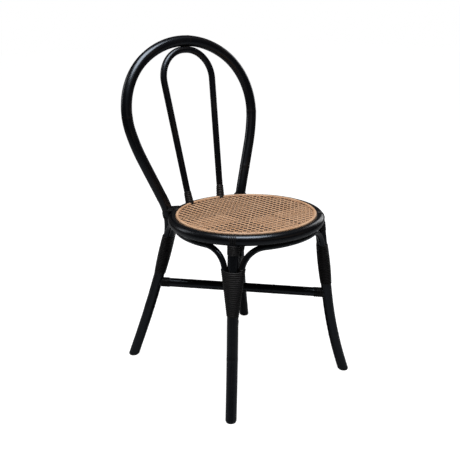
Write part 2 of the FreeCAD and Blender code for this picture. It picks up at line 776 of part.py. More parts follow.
for key in legs:
    add_node("foot_glide_" + key, glides[key], [glide_nails[key]])
crown_pin.Label = "crown_pin"
nodes.append(crown_pin)
for name, pieces in (("leg_screws", leg_screws), ("hoop_screws", hoop_screws), ("inner_hoop_dowels", inner_dowels),
                     ("stretcher_dowels", list(stretcher_dowels.values())),
                     ("glide_nails", list(glide_nails.values())),
                     ("brace_nails", list(brace_nails.values()))):
    add_group(name, pieces)

doc.recompute()
for item in doc.Objects:
    if "Invalid" in item.State or "Error" in item.State:
        raise RuntimeError(f"{item.Name} failed: {item.State}")
os.makedirs("parts", exist_ok=True)
for node in nodes:
    shape = node.Shape
    if shape.isNull() or not shape.isValid() or not shape.Solids:
        raise RuntimeError(f"{node.Label} has no sound solid")
    shape.exportStep(os.path.join("parts", node.Label + ".step"))
    print(f"{node.Label}: {len(shape.Solids)} solid, {shape.Volume / 1000:.2f} cm3")
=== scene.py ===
"""Looks of a bistro chair made of black-stained rattan poles, with a round seat of natural cane web.

Laid out as an add-on. The chair stands on the floor, +Z is up, the sitter faces -Y, sizes are in metres.
The poles follow straight runs joined by tangent arcs. Every pole and strand of peel carries the
attribute "grain": where a point would lie if its pole were straight, along Z.
"""

import math

import bmesh
import bpy
from mathutils import Matrix, Vector


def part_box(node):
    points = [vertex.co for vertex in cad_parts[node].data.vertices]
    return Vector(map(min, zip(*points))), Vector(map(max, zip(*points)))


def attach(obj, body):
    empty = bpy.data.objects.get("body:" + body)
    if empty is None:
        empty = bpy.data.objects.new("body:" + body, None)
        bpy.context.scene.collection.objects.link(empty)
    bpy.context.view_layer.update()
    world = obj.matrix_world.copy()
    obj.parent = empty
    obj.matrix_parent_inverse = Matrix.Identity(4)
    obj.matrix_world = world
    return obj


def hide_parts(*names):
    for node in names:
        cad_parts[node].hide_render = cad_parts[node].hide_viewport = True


bl_info = {
    "name": "Rattan Bistro Chair",
    "version": (1, 0, 0),
    "blender": (4, 5, 0),
    "location": "View3D > Sidebar > Chair",
    "description": "Poles, peel bindings and cane seat of a rattan bistro chair",
    "category": "Add Mesh",
}

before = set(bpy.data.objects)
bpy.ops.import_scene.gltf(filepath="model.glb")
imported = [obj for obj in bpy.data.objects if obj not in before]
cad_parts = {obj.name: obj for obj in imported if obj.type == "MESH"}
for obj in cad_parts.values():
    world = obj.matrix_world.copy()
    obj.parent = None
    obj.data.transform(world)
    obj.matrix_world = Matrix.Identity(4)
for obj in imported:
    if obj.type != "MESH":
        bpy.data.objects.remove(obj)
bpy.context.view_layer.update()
BODY = "root"
RING_LOW, RING_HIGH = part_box("seat_ring")
BORDER_LOW, BORDER_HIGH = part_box("cane_border")
RIGHT, LEFT = 1, -1
SIDES = {"left": LEFT, "right": RIGHT}
X_AXIS, Y_AXIS, Z_AXIS = Vector((1, 0, 0)), Vector((0, 1, 0)), Vector((0, 0, 1))


# properties

def length(name, default, about):
    return bpy.props.FloatProperty(name=name, description=about, default=default, unit="LENGTH", precision=5)


def angle(name, degrees, about):
    return bpy.props.FloatProperty(name=name, description=about, default=math.radians(degrees),
                                   unit="ROTATION")


def number(name, default, about):
    return bpy.props.FloatProperty(name=name, description=about, default=default)


def whole(name, default, about):
    return bpy.props.IntProperty(name=name, description=about, default=default)


def position(name, default, about):
    return bpy.props.FloatVectorProperty(name=name, description=about, default=default, unit="LENGTH")


def colour(name, default, about):
    return bpy.props.FloatVectorProperty(name=name, description=about, default=default, subtype="COLOR",
                                         size=3, min=0, max=1)


class ChairPoles(bpy.types.PropertyGroup):
    seat_centre_y: length("Seat centre", (RING_LOW.y + RING_HIGH.y) / 2, "Ring's axis, along Y")
    seat_height: length("Seat height", (RING_LOW.z + RING_HIGH.z) / 2, "Ring's centre line, at its axis")
    seat_slope: angle("Seat slope", 1.25, "Slope of the seat, down to the back")
    ring_radius: length("Ring radius", 0.1888, "Radius of the ring's centre line")
    ring_pole: length("Ring pole", 0.027, "Diameter of the seat ring's pole")
    hoop_pole: length("Hoop pole", 0.0284, "Diameter of the back hoop and rear legs")
    hoop_rake: angle("Hoop rake", 11.75, "Lean of the back from upright")
    hoop_plane_y: length("Hoop plane", 0.1751, "Hoop's plane behind the ring's axis, at seat height")
    crown_rise: length("Crown rise", 0.4416, "Hoop's top above the seat, along its plane")
    crown_radius: length("Crown radius", 0.2273, "Radius of the arc over the hoop's top")
    crown_turn: angle("Crown turn", 34.3, "Turn of the crown's arc, each side of the top")
    side_radius: length("Side radius", 0.1781, "Radius of the arcs at the hoop's sides")
    side_turn: angle("Side turn", 67.3, "Turn of each side arc")
    shoulder_radius: length("Shoulder radius", 0.463, "Radius of the arcs under the sides")
    shoulder_turn: angle("Shoulder turn", 9.9, "Turn of each shoulder arc")
    bend_drop: length("Bend drop", 0.0239, "Corner where hoop becomes leg, below the seat")
    bend_radius: length("Bend radius", 0.17, "Radius of the bend from hoop to rear leg")
    rear_knee: position("Rear knee", (0.155, 0.215, 0.186),
                        "Corner of the rear leg's curve, from the seat's axis")
    rear_knee_radius: length("Rear knee radius", 2.8, "Radius of the rear leg's curve")
    rear_foot: position("Rear foot", (0.2078, 0.2557, 0.0), "Rear foot on the floor, from the seat's axis")
    inner_pole: length("Inner pole", 0.0178, "Diameter of the inner hoop's pole")
    inner_foot_x: length("Inner foot", 0.0525, "Half the distance between the inner hoop's feet")
    inner_foot_rise: length("Inner foot rise", 0.0094, "Inner hoop's feet above the ring's centre line")
    inner_splay: angle("Inner splay", 4.5, "Lean of the inner hoop's sides, outwards")
    inner_crown_radius: length("Inner crown radius", 0.0765, "Radius of the inner hoop's top corners")
    front_angle: angle("Front angle", 41.1, "Front leg's place on the ring, from the X axis")
    front_pole: length("Front pole", 0.0276, "Diameter of the front legs")
    front_knee: position("Front knee", (0.1725, -0.1555, 0.118),
                         "Corner of the front leg's curve, from the seat's axis")
    front_knee_radius: length("Front knee radius", 1.15, "Radius of the front leg's curve")
    front_foot: position("Front foot", (0.1994, -0.1836, 0.0),
                         "Front foot on the floor, from the seat's axis")
    brace_pole: length("Brace pole", 0.0148, "Diameter of the braces")
    brace_run_radius: length("Brace run", 0.182, "Radius of the braces' run under the ring")
    brace_arch_radius: length("Brace arch", 0.06, "Radius of the braces' arches")
    brace_flank: length("Brace flank", 0.0203, "Brace's centre line beside the leg's")
    brace_end: length("Brace end", 0.256, "Height of the braces' tips")
    stretcher_pole: length("Stretcher pole", 0.0246, "Diameter of the crossed stretchers")
    stretcher_height: length("Stretcher height", 0.226, "Height of the stretchers")
    glide_height: length("Glide height", 0.003, "Thickness of the foot glides")
    node_swell: number("Node swell", 0.028, "Rise of a pole's growth nodes, as a share of its radius")


class PeelBindings(bpy.types.PropertyGroup):
    thickness: length("Thickness", 0.0013, "Thickness of a strand of peel")
    strand: length("Strand", 0.0046, "Width of the strands on the legs and stretchers")
    pitch: length("Pitch", 0.0048, "Distance from one turn to the next")
    lash_strand: length("Lashing strand", 0.0029, "Width of the strands in the lashings")
    lash_pitch: length("Lashing pitch", 0.0032, "Distance between the lashings' strands")
    edge_lift: length("Edge lift", 0.005, "Rise of a leg wrap's top turns over the braces")
    wrap_bottom: length("Wrap bottom", 0.254, "Lower end of the leg wraps")
    wrap_top: length("Wrap top", 0.364, "Upper end of the leg wraps")
    wrap_slack: length("Wrap slack", 0.0001, "Room between the poles and the wrap")
    collar_length: length("Collar", 0.02, "Length of the collars under the ring")
    binding_length: length("Stretcher binding", 0.024, "Length of the stretcher end bindings")
    foot_wrap_length: length("Foot wrap", 0.036, "Length of the wraps on the inner hoop's feet")
    foot_wrap_flare: length("Foot wrap flare", 0.003, "Flare of those wraps at the ring")
    lash_strands: whole("Lashing strands", 3, "Strands in a cross lashing")
    ring_strands: whole("Ring lashing strands", 4, "Strands in a lashing round the ring")
    ring_pitch: length("Ring lashing pitch", 0.004, "Distance between the ring lashings' strands")
    ring_thickness: length("Ring lashing thickness", 0.0009, "Thickness of the ring lashings' strands")


class CaneSeat(bpy.types.PropertyGroup):
    pitch: length("Pitch", 0.0140, "Distance between the web's holes")
    strand: length("Strand", 0.0019, "Width of the paired strands")
    diagonal: length("Diagonal strand", 0.0017, "Width of the diagonal strands")
    thickness: length("Thickness", 0.0005, "Thickness of the strands")
    rise: length("Rise", 0.0105, "Middle of the web above the ring's centre line")
    border: length("Border", 0.0074, "Diameter of the round border")
    border_radius: length("Border radius", 0.1783, "Radius of the border's centre line")
    border_rise: length("Border rise", 0.0122, "Border's centre above the ring's centre line")
    backing_rise: length("Backing rise", 0.0094, "Underside of the backing above the ring's centre line")
    backing: length("Backing", 0.0004, "Thickness of the sheet under the web")
    block: length("Block", 0.084, "Side of the middle block of the web's pattern")
    block_gap: length("Block gap", 0.012, "Width of the open rows between the blocks")


class ChairColours(bpy.types.PropertyGroup):
    stain: colour("Stain", (0.0020, 0.0020, 0.0025), "Black stain on the poles")
    worn: colour("Thin stain", (0.024, 0.015, 0.010), "Where the stain is thin")
    peel: colour("Peel", (0.0030, 0.0030, 0.0036), "Black stain on the peel")
    peel_edge: colour("Peel edge", (0.020, 0.016, 0.013), "Rubbed edges of the peel")
    cane: colour("Cane", (0.40, 0.215, 0.112), "Natural cane")
    cane_pale: colour("Pale cane", (0.54, 0.335, 0.205), "Paler strands")
    cane_dark: colour("Dark cane", (0.20, 0.100, 0.050), "Darker strands and growth marks")
    backing: colour("Backing", (0.040, 0.020, 0.011), "Sheet under the web")
    slips: colour("Slips", (0.25, 0.145, 0.085), "Slips that fill the web's paler blocks")
    glide: colour("Glide", (0.012, 0.012, 0.013), "Foot glides")
    dowel: colour("Dowel", (0.55, 0.38, 0.22), "Bare wood of the dowels")
    zinc: colour("Zinc", (0.62, 0.62, 0.64), "Zinc on the screws and nails")


class StudioStage(bpy.types.PropertyGroup):
    camera: position("Camera", (-1.0819, -1.2903, 0.9666),
                     "Camera's place, from the seat's axis at floor level")
    camera_turn: angle("Camera turn", -38.656, "Turn of the view from +Y, towards +X when negative")
    camera_pitch: angle("Camera pitch", 18.594, "Downward tilt of the view")
    camera_roll: angle("Camera roll", -0.206, "Roll of the view")
    lens: number("Lens", 53.16, "Focal length in millimetres, for a 36 mm sensor")
    shift_x: number("Shift X", -0.0025, "Sideways shift of the picture")
    shift_y: number("Shift Y", -0.0003, "Upward shift of the picture")
    key_power: number("Overhead light", 78.0, "Power of the softbox over the chair, in watts")
    fill_power: number("Fill light", 9.0, "Power of the low side lights, in watts")
    world: number("Surroundings", 0.045, "Brightness of the surroundings")
    floor_colour: colour("Floor", (0.27, 0.265, 0.265), "Floor")


def settings(name):
    return getattr(bpy.context.scene, name)


# places and paths

def ring_frame():
    p = settings("chair_poles")
    return Matrix.Translation((0, p.seat_centre_y, p.seat_height)) @ Matrix.Rotation(-p.seat_slope, 4, "X")


def hoop_frame():
    p = settings("chair_poles")
    place = Matrix.Translation((0, p.seat_centre_y + p.hoop_plane_y, p.seat_height))
    return place @ Matrix.Rotation(-p.hoop_rake, 4, "X")


def from_seat_axis(point):
    return Vector(point) + Vector((0, settings("chair_poles").seat_centre_y, 0))


def mirrored(point, side):
    return Vector((point.x * side, point.y, point.z))


def on_ring(radius, turn, level=0.0):
    return ring_frame() @ Vector((radius * math.cos(turn), radius * math.sin(turn), level))


RING_STEPS = 240


def ring_points(radius, level=0.0):
    """A closed circle of points in the seat's plane, from the back."""
    turns = [2 * math.pi * step / RING_STEPS + math.pi / 2 for step in range(RING_STEPS)]
    return [on_ring(radius, turn, level) for turn in turns]


def at_height(start, end, height):
    return start.lerp(end, (height - start.z) / (end.z - start.z))


def axes_frame(origin, z_axis, x_axis):
    """A frame with its Z axis along one direction and its X axis as near as it can be to another."""
    z_unit = Vector(z_axis).normalized()
    y_unit = z_unit.cross(x_axis).normalized()
    turn = Matrix((y_unit.cross(z_unit), y_unit, z_unit)).transposed().to_4x4()
    return Matrix.Translation(origin) @ turn


ARC_STEP = math.radians(1.5)


def arc_points(centre, start, end, around):
    """Points from start to end, turning about an axis through the centre."""
    spoke = start - centre
    turn = spoke.angle(end - centre)
    steps = max(3, math.ceil(turn / ARC_STEP))
    return [centre + Matrix.Rotation(turn * step / steps, 3, around) @ spoke for step in range(steps + 1)]


def rounded_path(corners, radii):
    """Points along straight runs between corners, each inner corner turned by a tangent arc."""
    points = [corners[0]]
    for before, corner, after, radius in zip(corners, corners[1:], corners[2:], radii):
        back = (before - corner).normalized()
        ahead = (after - corner).normalized()
        half_turn = (math.pi - back.angle(ahead)) / 2
        reach = radius * math.tan(half_turn)
        centre = corner + (back + ahead).normalized() * (radius / math.cos(half_turn))
        points += arc_points(centre, corner + back * reach, corner + ahead * reach,
                             ahead.cross(back).normalized())
    return points + [corners[-1]]


def hoop_half():
    """Corners and radii of the hoop's right half, from the foot up, and its crown corner."""
    p = settings("chair_poles")
    plane = hoop_frame()

    def step(place, heading, distance):
        return (place[0] + distance * math.cos(heading), place[1] - distance * math.sin(heading))

    place = step((0.0, p.crown_rise), p.crown_turn / 2, 2 * p.crown_radius * math.sin(p.crown_turn / 2))
    heading = p.crown_turn
    corners = [(0.0, p.crown_rise - p.crown_radius + p.crown_radius / math.cos(p.crown_turn))]
    for radius, turn in ((p.side_radius, p.side_turn), (p.shoulder_radius, p.shoulder_turn)):
        reach = radius * math.tan(turn / 2)
        corners.append(step(place, heading, reach))
        heading += turn
        place = step(corners[-1], heading, reach)
    drop = place[1] + p.bend_drop
    corners.append((place[0] + drop / math.tan(heading), place[1] - drop))
    crown, side, shoulder, bend = [plane @ Vector((x, 0, rise)) for x, rise in corners]
    knee = from_seat_axis(p.rear_knee)
    end = at_height(knee, from_seat_axis(p.rear_foot), -p.hoop_pole / 2)
    radii = [p.rear_knee_radius, p.bend_radius, p.shoulder_radius, p.side_radius]
    return [end, knee, bend, shoulder, side], radii, crown


def inner_hoop_ends():
    """Foot on the right, top corner on the right, and the direction of the right side."""
    p = settings("chair_poles")
    crown = p.crown_rise - p.hoop_pole / 2 - p.inner_pole / 2
    base = hoop_frame() @ Vector((p.inner_foot_x, 0, 0))
    corner = hoop_frame() @ Vector((p.inner_foot_x + crown * math.tan(p.inner_splay), 0, crown))
    lean = (corner - base).normalized()
    foot = base + lean * (p.inner_foot_rise - (ring_frame().inverted() @ base).z)
    return foot, corner, lean


class LegLine:
    """The straight stretch of a leg under the seat, which its wrap and its braces follow."""

    def __init__(self, upper, lower, pole):
        self.upper = upper
        self.lower = lower
        self.radius = pole / 2
        self.down = (lower - upper).normalized()
        outward = Vector((upper.x, upper.y - settings("chair_poles").seat_centre_y, 0)).normalized()
        self.flank = Vector((-outward.y, outward.x, 0))

    def at(self, height):
        return at_height(self.upper, self.lower, height)


def leg_lines():
    p = settings("chair_poles")
    front_top = on_ring(p.ring_radius, -p.front_angle)
    front_knee = from_seat_axis(p.front_knee)
    (_, rear_knee, rear_bend, _, _), _, _ = hoop_half()
    legs = {}
    for name, side in SIDES.items():
        legs["front_" + name] = LegLine(mirrored(front_top, side), mirrored(front_knee, side), p.front_pole)
        legs["rear_" + name] = LegLine(mirrored(rear_bend, side), mirrored(rear_knee, side), p.hoop_pole)
    return legs


STRETCHERS = {"left": ("rear_left", "front_right"), "right": ("rear_right", "front_left")}


def stretcher_ends():
    """The middle of each leg at the stretchers' height."""
    return {key: leg.at(settings("chair_poles").stretcher_height) for key, leg in leg_lines().items()}


JOINT_SPAN = 0.1
JOINT_STEPS = 20


def hoop_joint(side):
    """Where the hoop's pole touches the ring: the middle, the way outwards and the ring's way."""
    p = settings("chair_poles")
    half, radii, _ = hoop_half()
    points = rounded_path(half, radii + [p.crown_radius])
    line = [point for point in points if abs(point.z - p.seat_height) < JOINT_SPAN]
    fine = [a.lerp(b, step / JOINT_STEPS) for a, b in zip(line, line[1:]) for step in range(JOINT_STEPS)]
    inverse = ring_frame().inverted()

    def gap(point):
        local = inverse @ point
        return math.hypot(math.hypot(local.x, local.y) - p.ring_radius, local.z)

    hoop_point = min(fine, key=gap)
    local = inverse @ hoop_point
    ring_point = on_ring(p.ring_radius, math.atan2(local.y, local.x))
    hoop_point, ring_point = mirrored(hoop_point, side), mirrored(ring_point, side)
    outward = (hoop_point - ring_point).normalized()
    return (hoop_point + ring_point) / 2, outward, outward.cross(Z_AXIS).normalized()


def wrap_frame(leg):
    """Frame at the foot of a leg's wrap, up along the leg, and the wrap's length."""
    b = settings("peel_bindings")
    bottom = leg.at(b.wrap_bottom)
    return axes_frame(bottom, -leg.down, leg.flank), (b.wrap_top - b.wrap_bottom) / abs(leg.down.z)


def wrap_half_widths(leg):
    """Half widths of the space in a leg's wrap, at its foot and at its top; the first is its half depth."""
    p, slack = settings("chair_poles"), settings("peel_bindings").wrap_slack
    return leg.radius + slack, p.brace_flank + p.brace_pole / 2 + slack


# node trees

SOCKET_KINDS = {float: "Float", int: "Int"}
# points round a strip of peel, and its back as a share of its thickness
PEEL_SIDES = 8
PEEL_BACK = -0.02
# a growth node's half length as a share of the radius, its place and scatter as shares of the spacing
KNOT_HALF_LENGTH = 0.22
KNOT_PLACE, KNOT_SCATTER = 0.25, 0.5
POLE_WANDER = 9.0
# points in each turn of a winding, how fast its unevenness changes, and its widening where it rises
TURN_STEPS = 48
JITTER_ALONG, JITTER_ROUND = 300.0, 20.0
EDGE_SPREAD = 10.0
LEAST_CHORD_SQUARED = 1e-5


def new_tree(name, kind, inputs, outputs):
    """A node group: an input is given by its default, or by its kind where it has none."""
    tree = bpy.data.node_groups.new(name, kind)
    for label, default in inputs.items():
        socket = SOCKET_KINDS.get(type(default), default)
        made = tree.interface.new_socket(label, in_out="INPUT", socket_type="NodeSocket" + socket)
        if socket != default:
            made.default_value = default
    for label, socket in outputs.items():
        tree.interface.new_socket(label, in_out="OUTPUT", socket_type="NodeSocket" + socket)
    return tree, tree.nodes.new("NodeGroupInput").outputs, tree.nodes.new("NodeGroupOutput")


def feed(tree, socket, value):
    """Gives an input its value: another node's output or a plain value."""
    if isinstance(value, bpy.types.NodeSocket):
        tree.links.new(value, socket)
    else:
        socket.default_value = value


def node(tree, kind, values=None, **attributes):
    """A node with its attributes and inputs set."""
    made = tree.nodes.new(kind)
    for name, value in attributes.items():
        setattr(made, name, value)
    for key, value in (values or {}).items():
        feed(tree, made.inputs[key], value)
    return made


def calc(tree, operation, *values):
    """The output of a Math node."""
    return node(tree, "ShaderNodeMath", dict(enumerate(values)), operation=operation).outputs[0]


def times(tree, *values):
    """The product of several values."""
    product = values[0]
    for value in values[1:]:
        product = calc(tree, "MULTIPLY", product, value)
    return product


def ramp(tree, value, low, high, out_low=0.0, out_high=1.0):
    """A value spread from one span to another, held at its ends."""
    return node(tree, "ShaderNodeMapRange", {"Value": value, "From Min": low, "From Max": high,
                                             "To Min": out_low, "To Max": out_high}).outputs[0]


def vector(tree, *values):
    """A vector made from up to three values."""
    return node(tree, "ShaderNodeCombineXYZ", dict(enumerate(values))).outputs[0]


def point_place(tree):
    """The X, Y and Z of each point."""
    place = node(tree, "GeometryNodeInputPosition").outputs[0]
    return node(tree, "ShaderNodeSeparateXYZ", {0: place}).outputs


def run_along(tree):
    """The distance of each point along its curve."""
    return node(tree, "GeometryNodeSplineParameter").outputs["Length"]


def named(tree, geometry, name, value, kind="FLOAT"):
    """The geometry with a named attribute stored on its points."""
    store = node(tree, "GeometryNodeStoreNamedAttribute", {"Geometry": geometry, "Name": name},
                 data_type=kind, domain="POINT")
    feed(tree, store.inputs["Value"], value)
    return store.outputs["Geometry"]


def stored(tree, name, kind="FLOAT"):
    """A named attribute's value at each point."""
    return node(tree, "GeometryNodeInputNamedAttribute", {"Name": name}, data_type=kind).outputs["Attribute"]


def moved(tree, geometry, place):
    """The geometry with its points put elsewhere."""
    return node(tree, "GeometryNodeSetPosition", {"Geometry": geometry, "Position": place}).outputs[0]


def resampled(tree, curve, step):
    made = node(tree, "GeometryNodeResampleCurve", {"Curve": curve, "Length": step}, mode="LENGTH")
    return made.outputs[0]


def flat_lying(tree, curve):
    """The curve with its normals held level, so that a strip along it keeps its crown one way."""
    return node(tree, "GeometryNodeSetCurveNormal", {"Curve": curve}, mode="Z_UP").outputs[0]


def circle(tree, sides, radius):
    made = node(tree, "GeometryNodeCurvePrimitiveCircle", {"Resolution": sides, "Radius": radius},
                mode="RADIUS")
    return made.outputs["Curve"]


def sweep(tree, curve, profile, scale=None):
    """The curve swept with a profile, with the attribute "grain" of the straightened strand."""
    curve = named(tree, curve, "run", run_along(tree))
    girth = node(tree, "GeometryNodeInputPosition").outputs[0]
    profile = named(tree, profile, "girth", girth, "FLOAT_VECTOR")
    inputs = {"Curve": curve, "Profile Curve": profile, "Fill Caps": True}
    if scale:
        inputs["Scale"] = scale
    mesh = node(tree, "GeometryNodeCurveToMesh", inputs).outputs["Mesh"]
    across = node(tree, "ShaderNodeSeparateXYZ", {0: stored(tree, "girth", "FLOAT_VECTOR")}).outputs
    grain = vector(tree, across[0], across[1], stored(tree, "run"))
    mesh = named(tree, mesh, "grain", grain, "FLOAT_VECTOR")
    for name in ("girth", "run"):
        mesh = node(tree, "GeometryNodeRemoveAttribute", {"Geometry": mesh, "Name": name}).outputs[0]
    return mesh


def finished(tree, mesh, given, output):
    """Realizes, shades smooth, sets the material and ends the tree."""
    real = node(tree, "GeometryNodeRealizeInstances", {0: mesh})
    smooth = node(tree, "GeometryNodeSetShadeSmooth", {"Geometry": real.outputs[0]})
    painted = node(tree, "GeometryNodeSetMaterial", {"Geometry": smooth.outputs[0],
                                                     "Material": given["Material"]})
    feed(tree, output.inputs[0], painted.outputs[0])
    return tree


def peel_profile(tree, given, crown_up=False):
    """A strip with a flat back and a rounded crown, towards -X or, with crown_up, towards -Y."""
    place = point_place(tree)
    across = times(tree, place[0], times(tree, given["Width"], 0.5))
    back = times(tree, calc(tree, "MAXIMUM", place[1], PEEL_BACK), given["Thickness"], -1.0)
    return moved(tree, circle(tree, PEEL_SIDES, 1.0),
                 vector(tree, across, back) if crown_up else vector(tree, back, across))


def pole_tree():
    """A pole along a curve: round, a little uneven, with swollen growth nodes."""
    tree, given, output = new_tree("rattan_pole", "GeometryNodeTree", {
        "Path": "Geometry", "Radius": 0.014, "Node Spacing": 0.26, "Node Swell": 0.03, "Unevenness": 0.012,
        "Seed": 1, "Step": 0.003, "Sides": 40, "Material": "Material"}, {"Pole": "Geometry"})
    run, spacing = run_along(tree), given["Node Spacing"]
    section = calc(tree, "FLOOR", calc(tree, "DIVIDE", run, spacing))
    dice = node(tree, "ShaderNodeTexWhiteNoise", {"Vector": vector(tree, section, given["Seed"])},
                noise_dimensions="3D")
    share = calc(tree, "MULTIPLY_ADD", dice.outputs["Value"], KNOT_SCATTER, KNOT_PLACE)
    apart = calc(tree, "SUBTRACT", run, times(tree, calc(tree, "ADD", section, share), spacing))
    ratio = calc(tree, "DIVIDE", apart, times(tree, given["Radius"], KNOT_HALF_LENGTH))
    swell = calc(tree, "EXPONENT", times(tree, ratio, ratio, -1.0))
    path = named(tree, resampled(tree, given["Path"], given["Step"]), "knot", swell)
    wander = node(tree, "ShaderNodeTexNoise", {
        "Vector": vector(tree, run, given["Seed"]), "Scale": POLE_WANDER, "Detail": 1.0})
    uneven = times(tree, calc(tree, "SUBTRACT", wander.outputs[0], 0.5), given["Unevenness"])
    scale = calc(tree, "ADD", calc(tree, "ADD", 1.0, uneven), times(tree, swell, given["Node Swell"]))
    mesh = sweep(tree, path, circle(tree, given["Sides"], given["Radius"]), scale)
    return finished(tree, mesh, given, output)


def strand_tree():
    """Strands of peel along curves drawn in the XY plane, clockwise, with their crowns outwards."""
    tree, given, output = new_tree("peel_strand", "GeometryNodeTree", {
        "Path": "Geometry", "Width": 0.0029, "Thickness": 0.0013, "Step": 0.0015, "Material": "Material"},
        {"Strands": "Geometry"})
    path = flat_lying(tree, resampled(tree, given["Path"], given["Step"]))
    return finished(tree, sweep(tree, path, peel_profile(tree, given)), given, output)


def winding_tree():
    """Peel wound up the Z axis, round a sleeve that narrows or flares, and may be flatter at its top."""
    tree, given, output = new_tree("peel_winding", "GeometryNodeTree", {
        "Base": "Geometry", "Length": 0.1, "Bottom Radius": 0.016, "Top Radius": 0.028, "Top Depth": 0.5,
        "Pitch": 0.003, "Width": 0.0029, "Thickness": 0.0013, "Unevenness": 0.00025, "Edge Lift": 0.0,
        "Seed": 1, "Material": "Material"}, {"Winding": "Geometry"})
    spiral = node(tree, "GeometryNodeCurveSpiral", {
        "Resolution": TURN_STEPS, "Rotations": calc(tree, "DIVIDE", given["Length"], given["Pitch"]),
        "Start Radius": given["Bottom Radius"], "End Radius": given["Top Radius"],
        "Height": given["Length"]})
    place = point_place(tree)
    share = calc(tree, "DIVIDE", place[2], given["Length"])
    depth = ramp(tree, share, 0.0, 1.0, 1.0, given["Top Depth"])
    jitter = node(tree, "ShaderNodeTexNoise", {"Vector": vector(
        tree, times(tree, place[2], JITTER_ALONG), given["Seed"], times(tree, place[0], JITTER_ROUND)),
        "Scale": 1.0, "Detail": 0.0})
    lift = times(tree, calc(tree, "SUBTRACT", jitter.outputs[0], 0.5), given["Unevenness"])
    spread = calc(tree, "ADD", 1.0, calc(tree, "DIVIDE", lift, given["Bottom Radius"]))
    aside = calc(tree, "DIVIDE", times(tree, place[0], share), given["Top Radius"])
    raised = times(tree, aside, aside, given["Edge Lift"])
    wider = calc(tree, "MULTIPLY_ADD", raised, EDGE_SPREAD, spread)
    oval = vector(tree, times(tree, place[0], wider), times(tree, place[1], depth, spread),
                  calc(tree, "ADD", calc(tree, "ADD", place[2], lift), raised))
    path = flat_lying(tree, moved(tree, spiral.outputs[0], oval))
    return finished(tree, sweep(tree, path, peel_profile(tree, given)), given, output)


def web_tree():
    """One direction of the cane web, in the XY plane: parallel strands along Y, cut to a disc.

    Each strand rises and falls as Height times a cosine of its distance along Y.
    """
    tree, given, output = new_tree("cane_strands", "GeometryNodeTree", {
        "Base": "Geometry", "Count": 28, "Spacing": 0.0127, "Offset": 0.0, "Disc Radius": 0.178,
        "Width": 0.0021, "Thickness": 0.00065, "Height": 0.0004, "Wave": 0.0127, "Phase": 0.0,
        "Alternate": 0.0, "Turn": 0.0, "Step": 0.0021, "Seed": 1, "Material": "Material"},
        {"Web": "Geometry"})
    index = node(tree, "GeometryNodeInputIndex").outputs[0]
    middle = times(tree, calc(tree, "SUBTRACT", given["Count"], 1.0), 0.5)
    across = calc(tree, "ADD", given["Offset"],
                  times(tree, calc(tree, "SUBTRACT", index, middle), given["Spacing"]))
    row = node(tree, "GeometryNodeMeshLine", {"Count": given["Count"]})
    points = moved(tree, row.outputs[0], vector(tree, across))
    squares = [times(tree, value, value) for value in (given["Disc Radius"], across)]
    chord = calc(tree, "SQRT", calc(tree, "MAXIMUM", calc(tree, "SUBTRACT", *squares), LEAST_CHORD_SQUARED))
    dice = node(tree, "FunctionNodeRandomValue", {"Seed": given["Seed"]}, data_type="FLOAT")
    points = named(tree, points, "tint", dice.outputs[1])
    points = named(tree, points, "flip", times(tree, calc(tree, "MODULO", index, 2.0), given["Alternate"]))
    line = node(tree, "GeometryNodeCurvePrimitiveLine", {"Start": (0, -1, 0), "End": (0, 1, 0)})
    strands = node(tree, "GeometryNodeInstanceOnPoints", {
        "Points": points, "Instance": line.outputs[0], "Scale": vector(tree, 1.0, chord, 1.0)})
    real = node(tree, "GeometryNodeRealizeInstances", {0: strands.outputs[0]})
    along = calc(tree, "SUBTRACT", point_place(tree)[1], given["Phase"])
    cycles = calc(tree, "ADD", calc(tree, "DIVIDE", along, given["Wave"]), stored(tree, "flip"))
    wave = times(tree, calc(tree, "COSINE", times(tree, cycles, 2 * math.pi)), given["Height"])
    fine = resampled(tree, real.outputs[0], given["Step"])
    rise = vector(tree, 0.0, 0.0, wave)
    woven = node(tree, "GeometryNodeSetPosition", {"Geometry": fine, "Offset": rise})
    mesh = sweep(tree, flat_lying(tree, woven.outputs[0]), peel_profile(tree, given, crown_up=True))
    turned = node(tree, "GeometryNodeTransform", {"Geometry": mesh,
                                                  "Rotation": vector(tree, 0.0, 0.0, given["Turn"])})
    return finished(tree, turned.outputs[0], given, output)


TREES = {"rattan_pole": pole_tree, "peel_strand": strand_tree, "peel_winding": winding_tree,
         "cane_strands": web_tree}


# meshes and pieces

def grown(tree_name, inputs, source=None):
    """The plain mesh that a tree makes from a source object, or from nothing."""
    tree = bpy.data.node_groups.get(tree_name) or TREES[tree_name]()
    holder = bpy.data.objects.new("holder", source or bpy.data.meshes.new("empty"))
    bpy.context.scene.collection.objects.link(holder)
    modifier = holder.modifiers.new("Shape", "NODES")
    modifier.node_group = tree
    sockets = {item.name: item.identifier for item in tree.interface.items_tree if item.in_out == "INPUT"}
    for name, value in inputs.items():
        modifier[sockets[name]] = value
    holder.update_tag()
    bpy.context.view_layer.update()
    graph = bpy.context.evaluated_depsgraph_get()
    mesh = bpy.data.meshes.new_from_object(holder.evaluated_get(graph), depsgraph=graph)
    bpy.data.objects.remove(holder)
    return mesh


def drawn(paths, closed=False):
    """A curve of straight segments through each path's points."""
    curve = bpy.data.curves.new("path", "CURVE")
    curve.dimensions = "3D"
    for points in paths:
        spline = curve.splines.new("POLY")
        spline.points.add(len(points) - 1)
        for item, point in zip(spline.points, points):
            item.co = (*point, 1.0)
        spline.use_cyclic_u = closed
    return curve


def joined(meshes):
    """Several meshes as one."""
    whole = meshes[0]
    made = bmesh.new()
    for mesh in meshes:
        made.from_mesh(mesh)
    made.to_mesh(whole)
    made.free()
    return whole


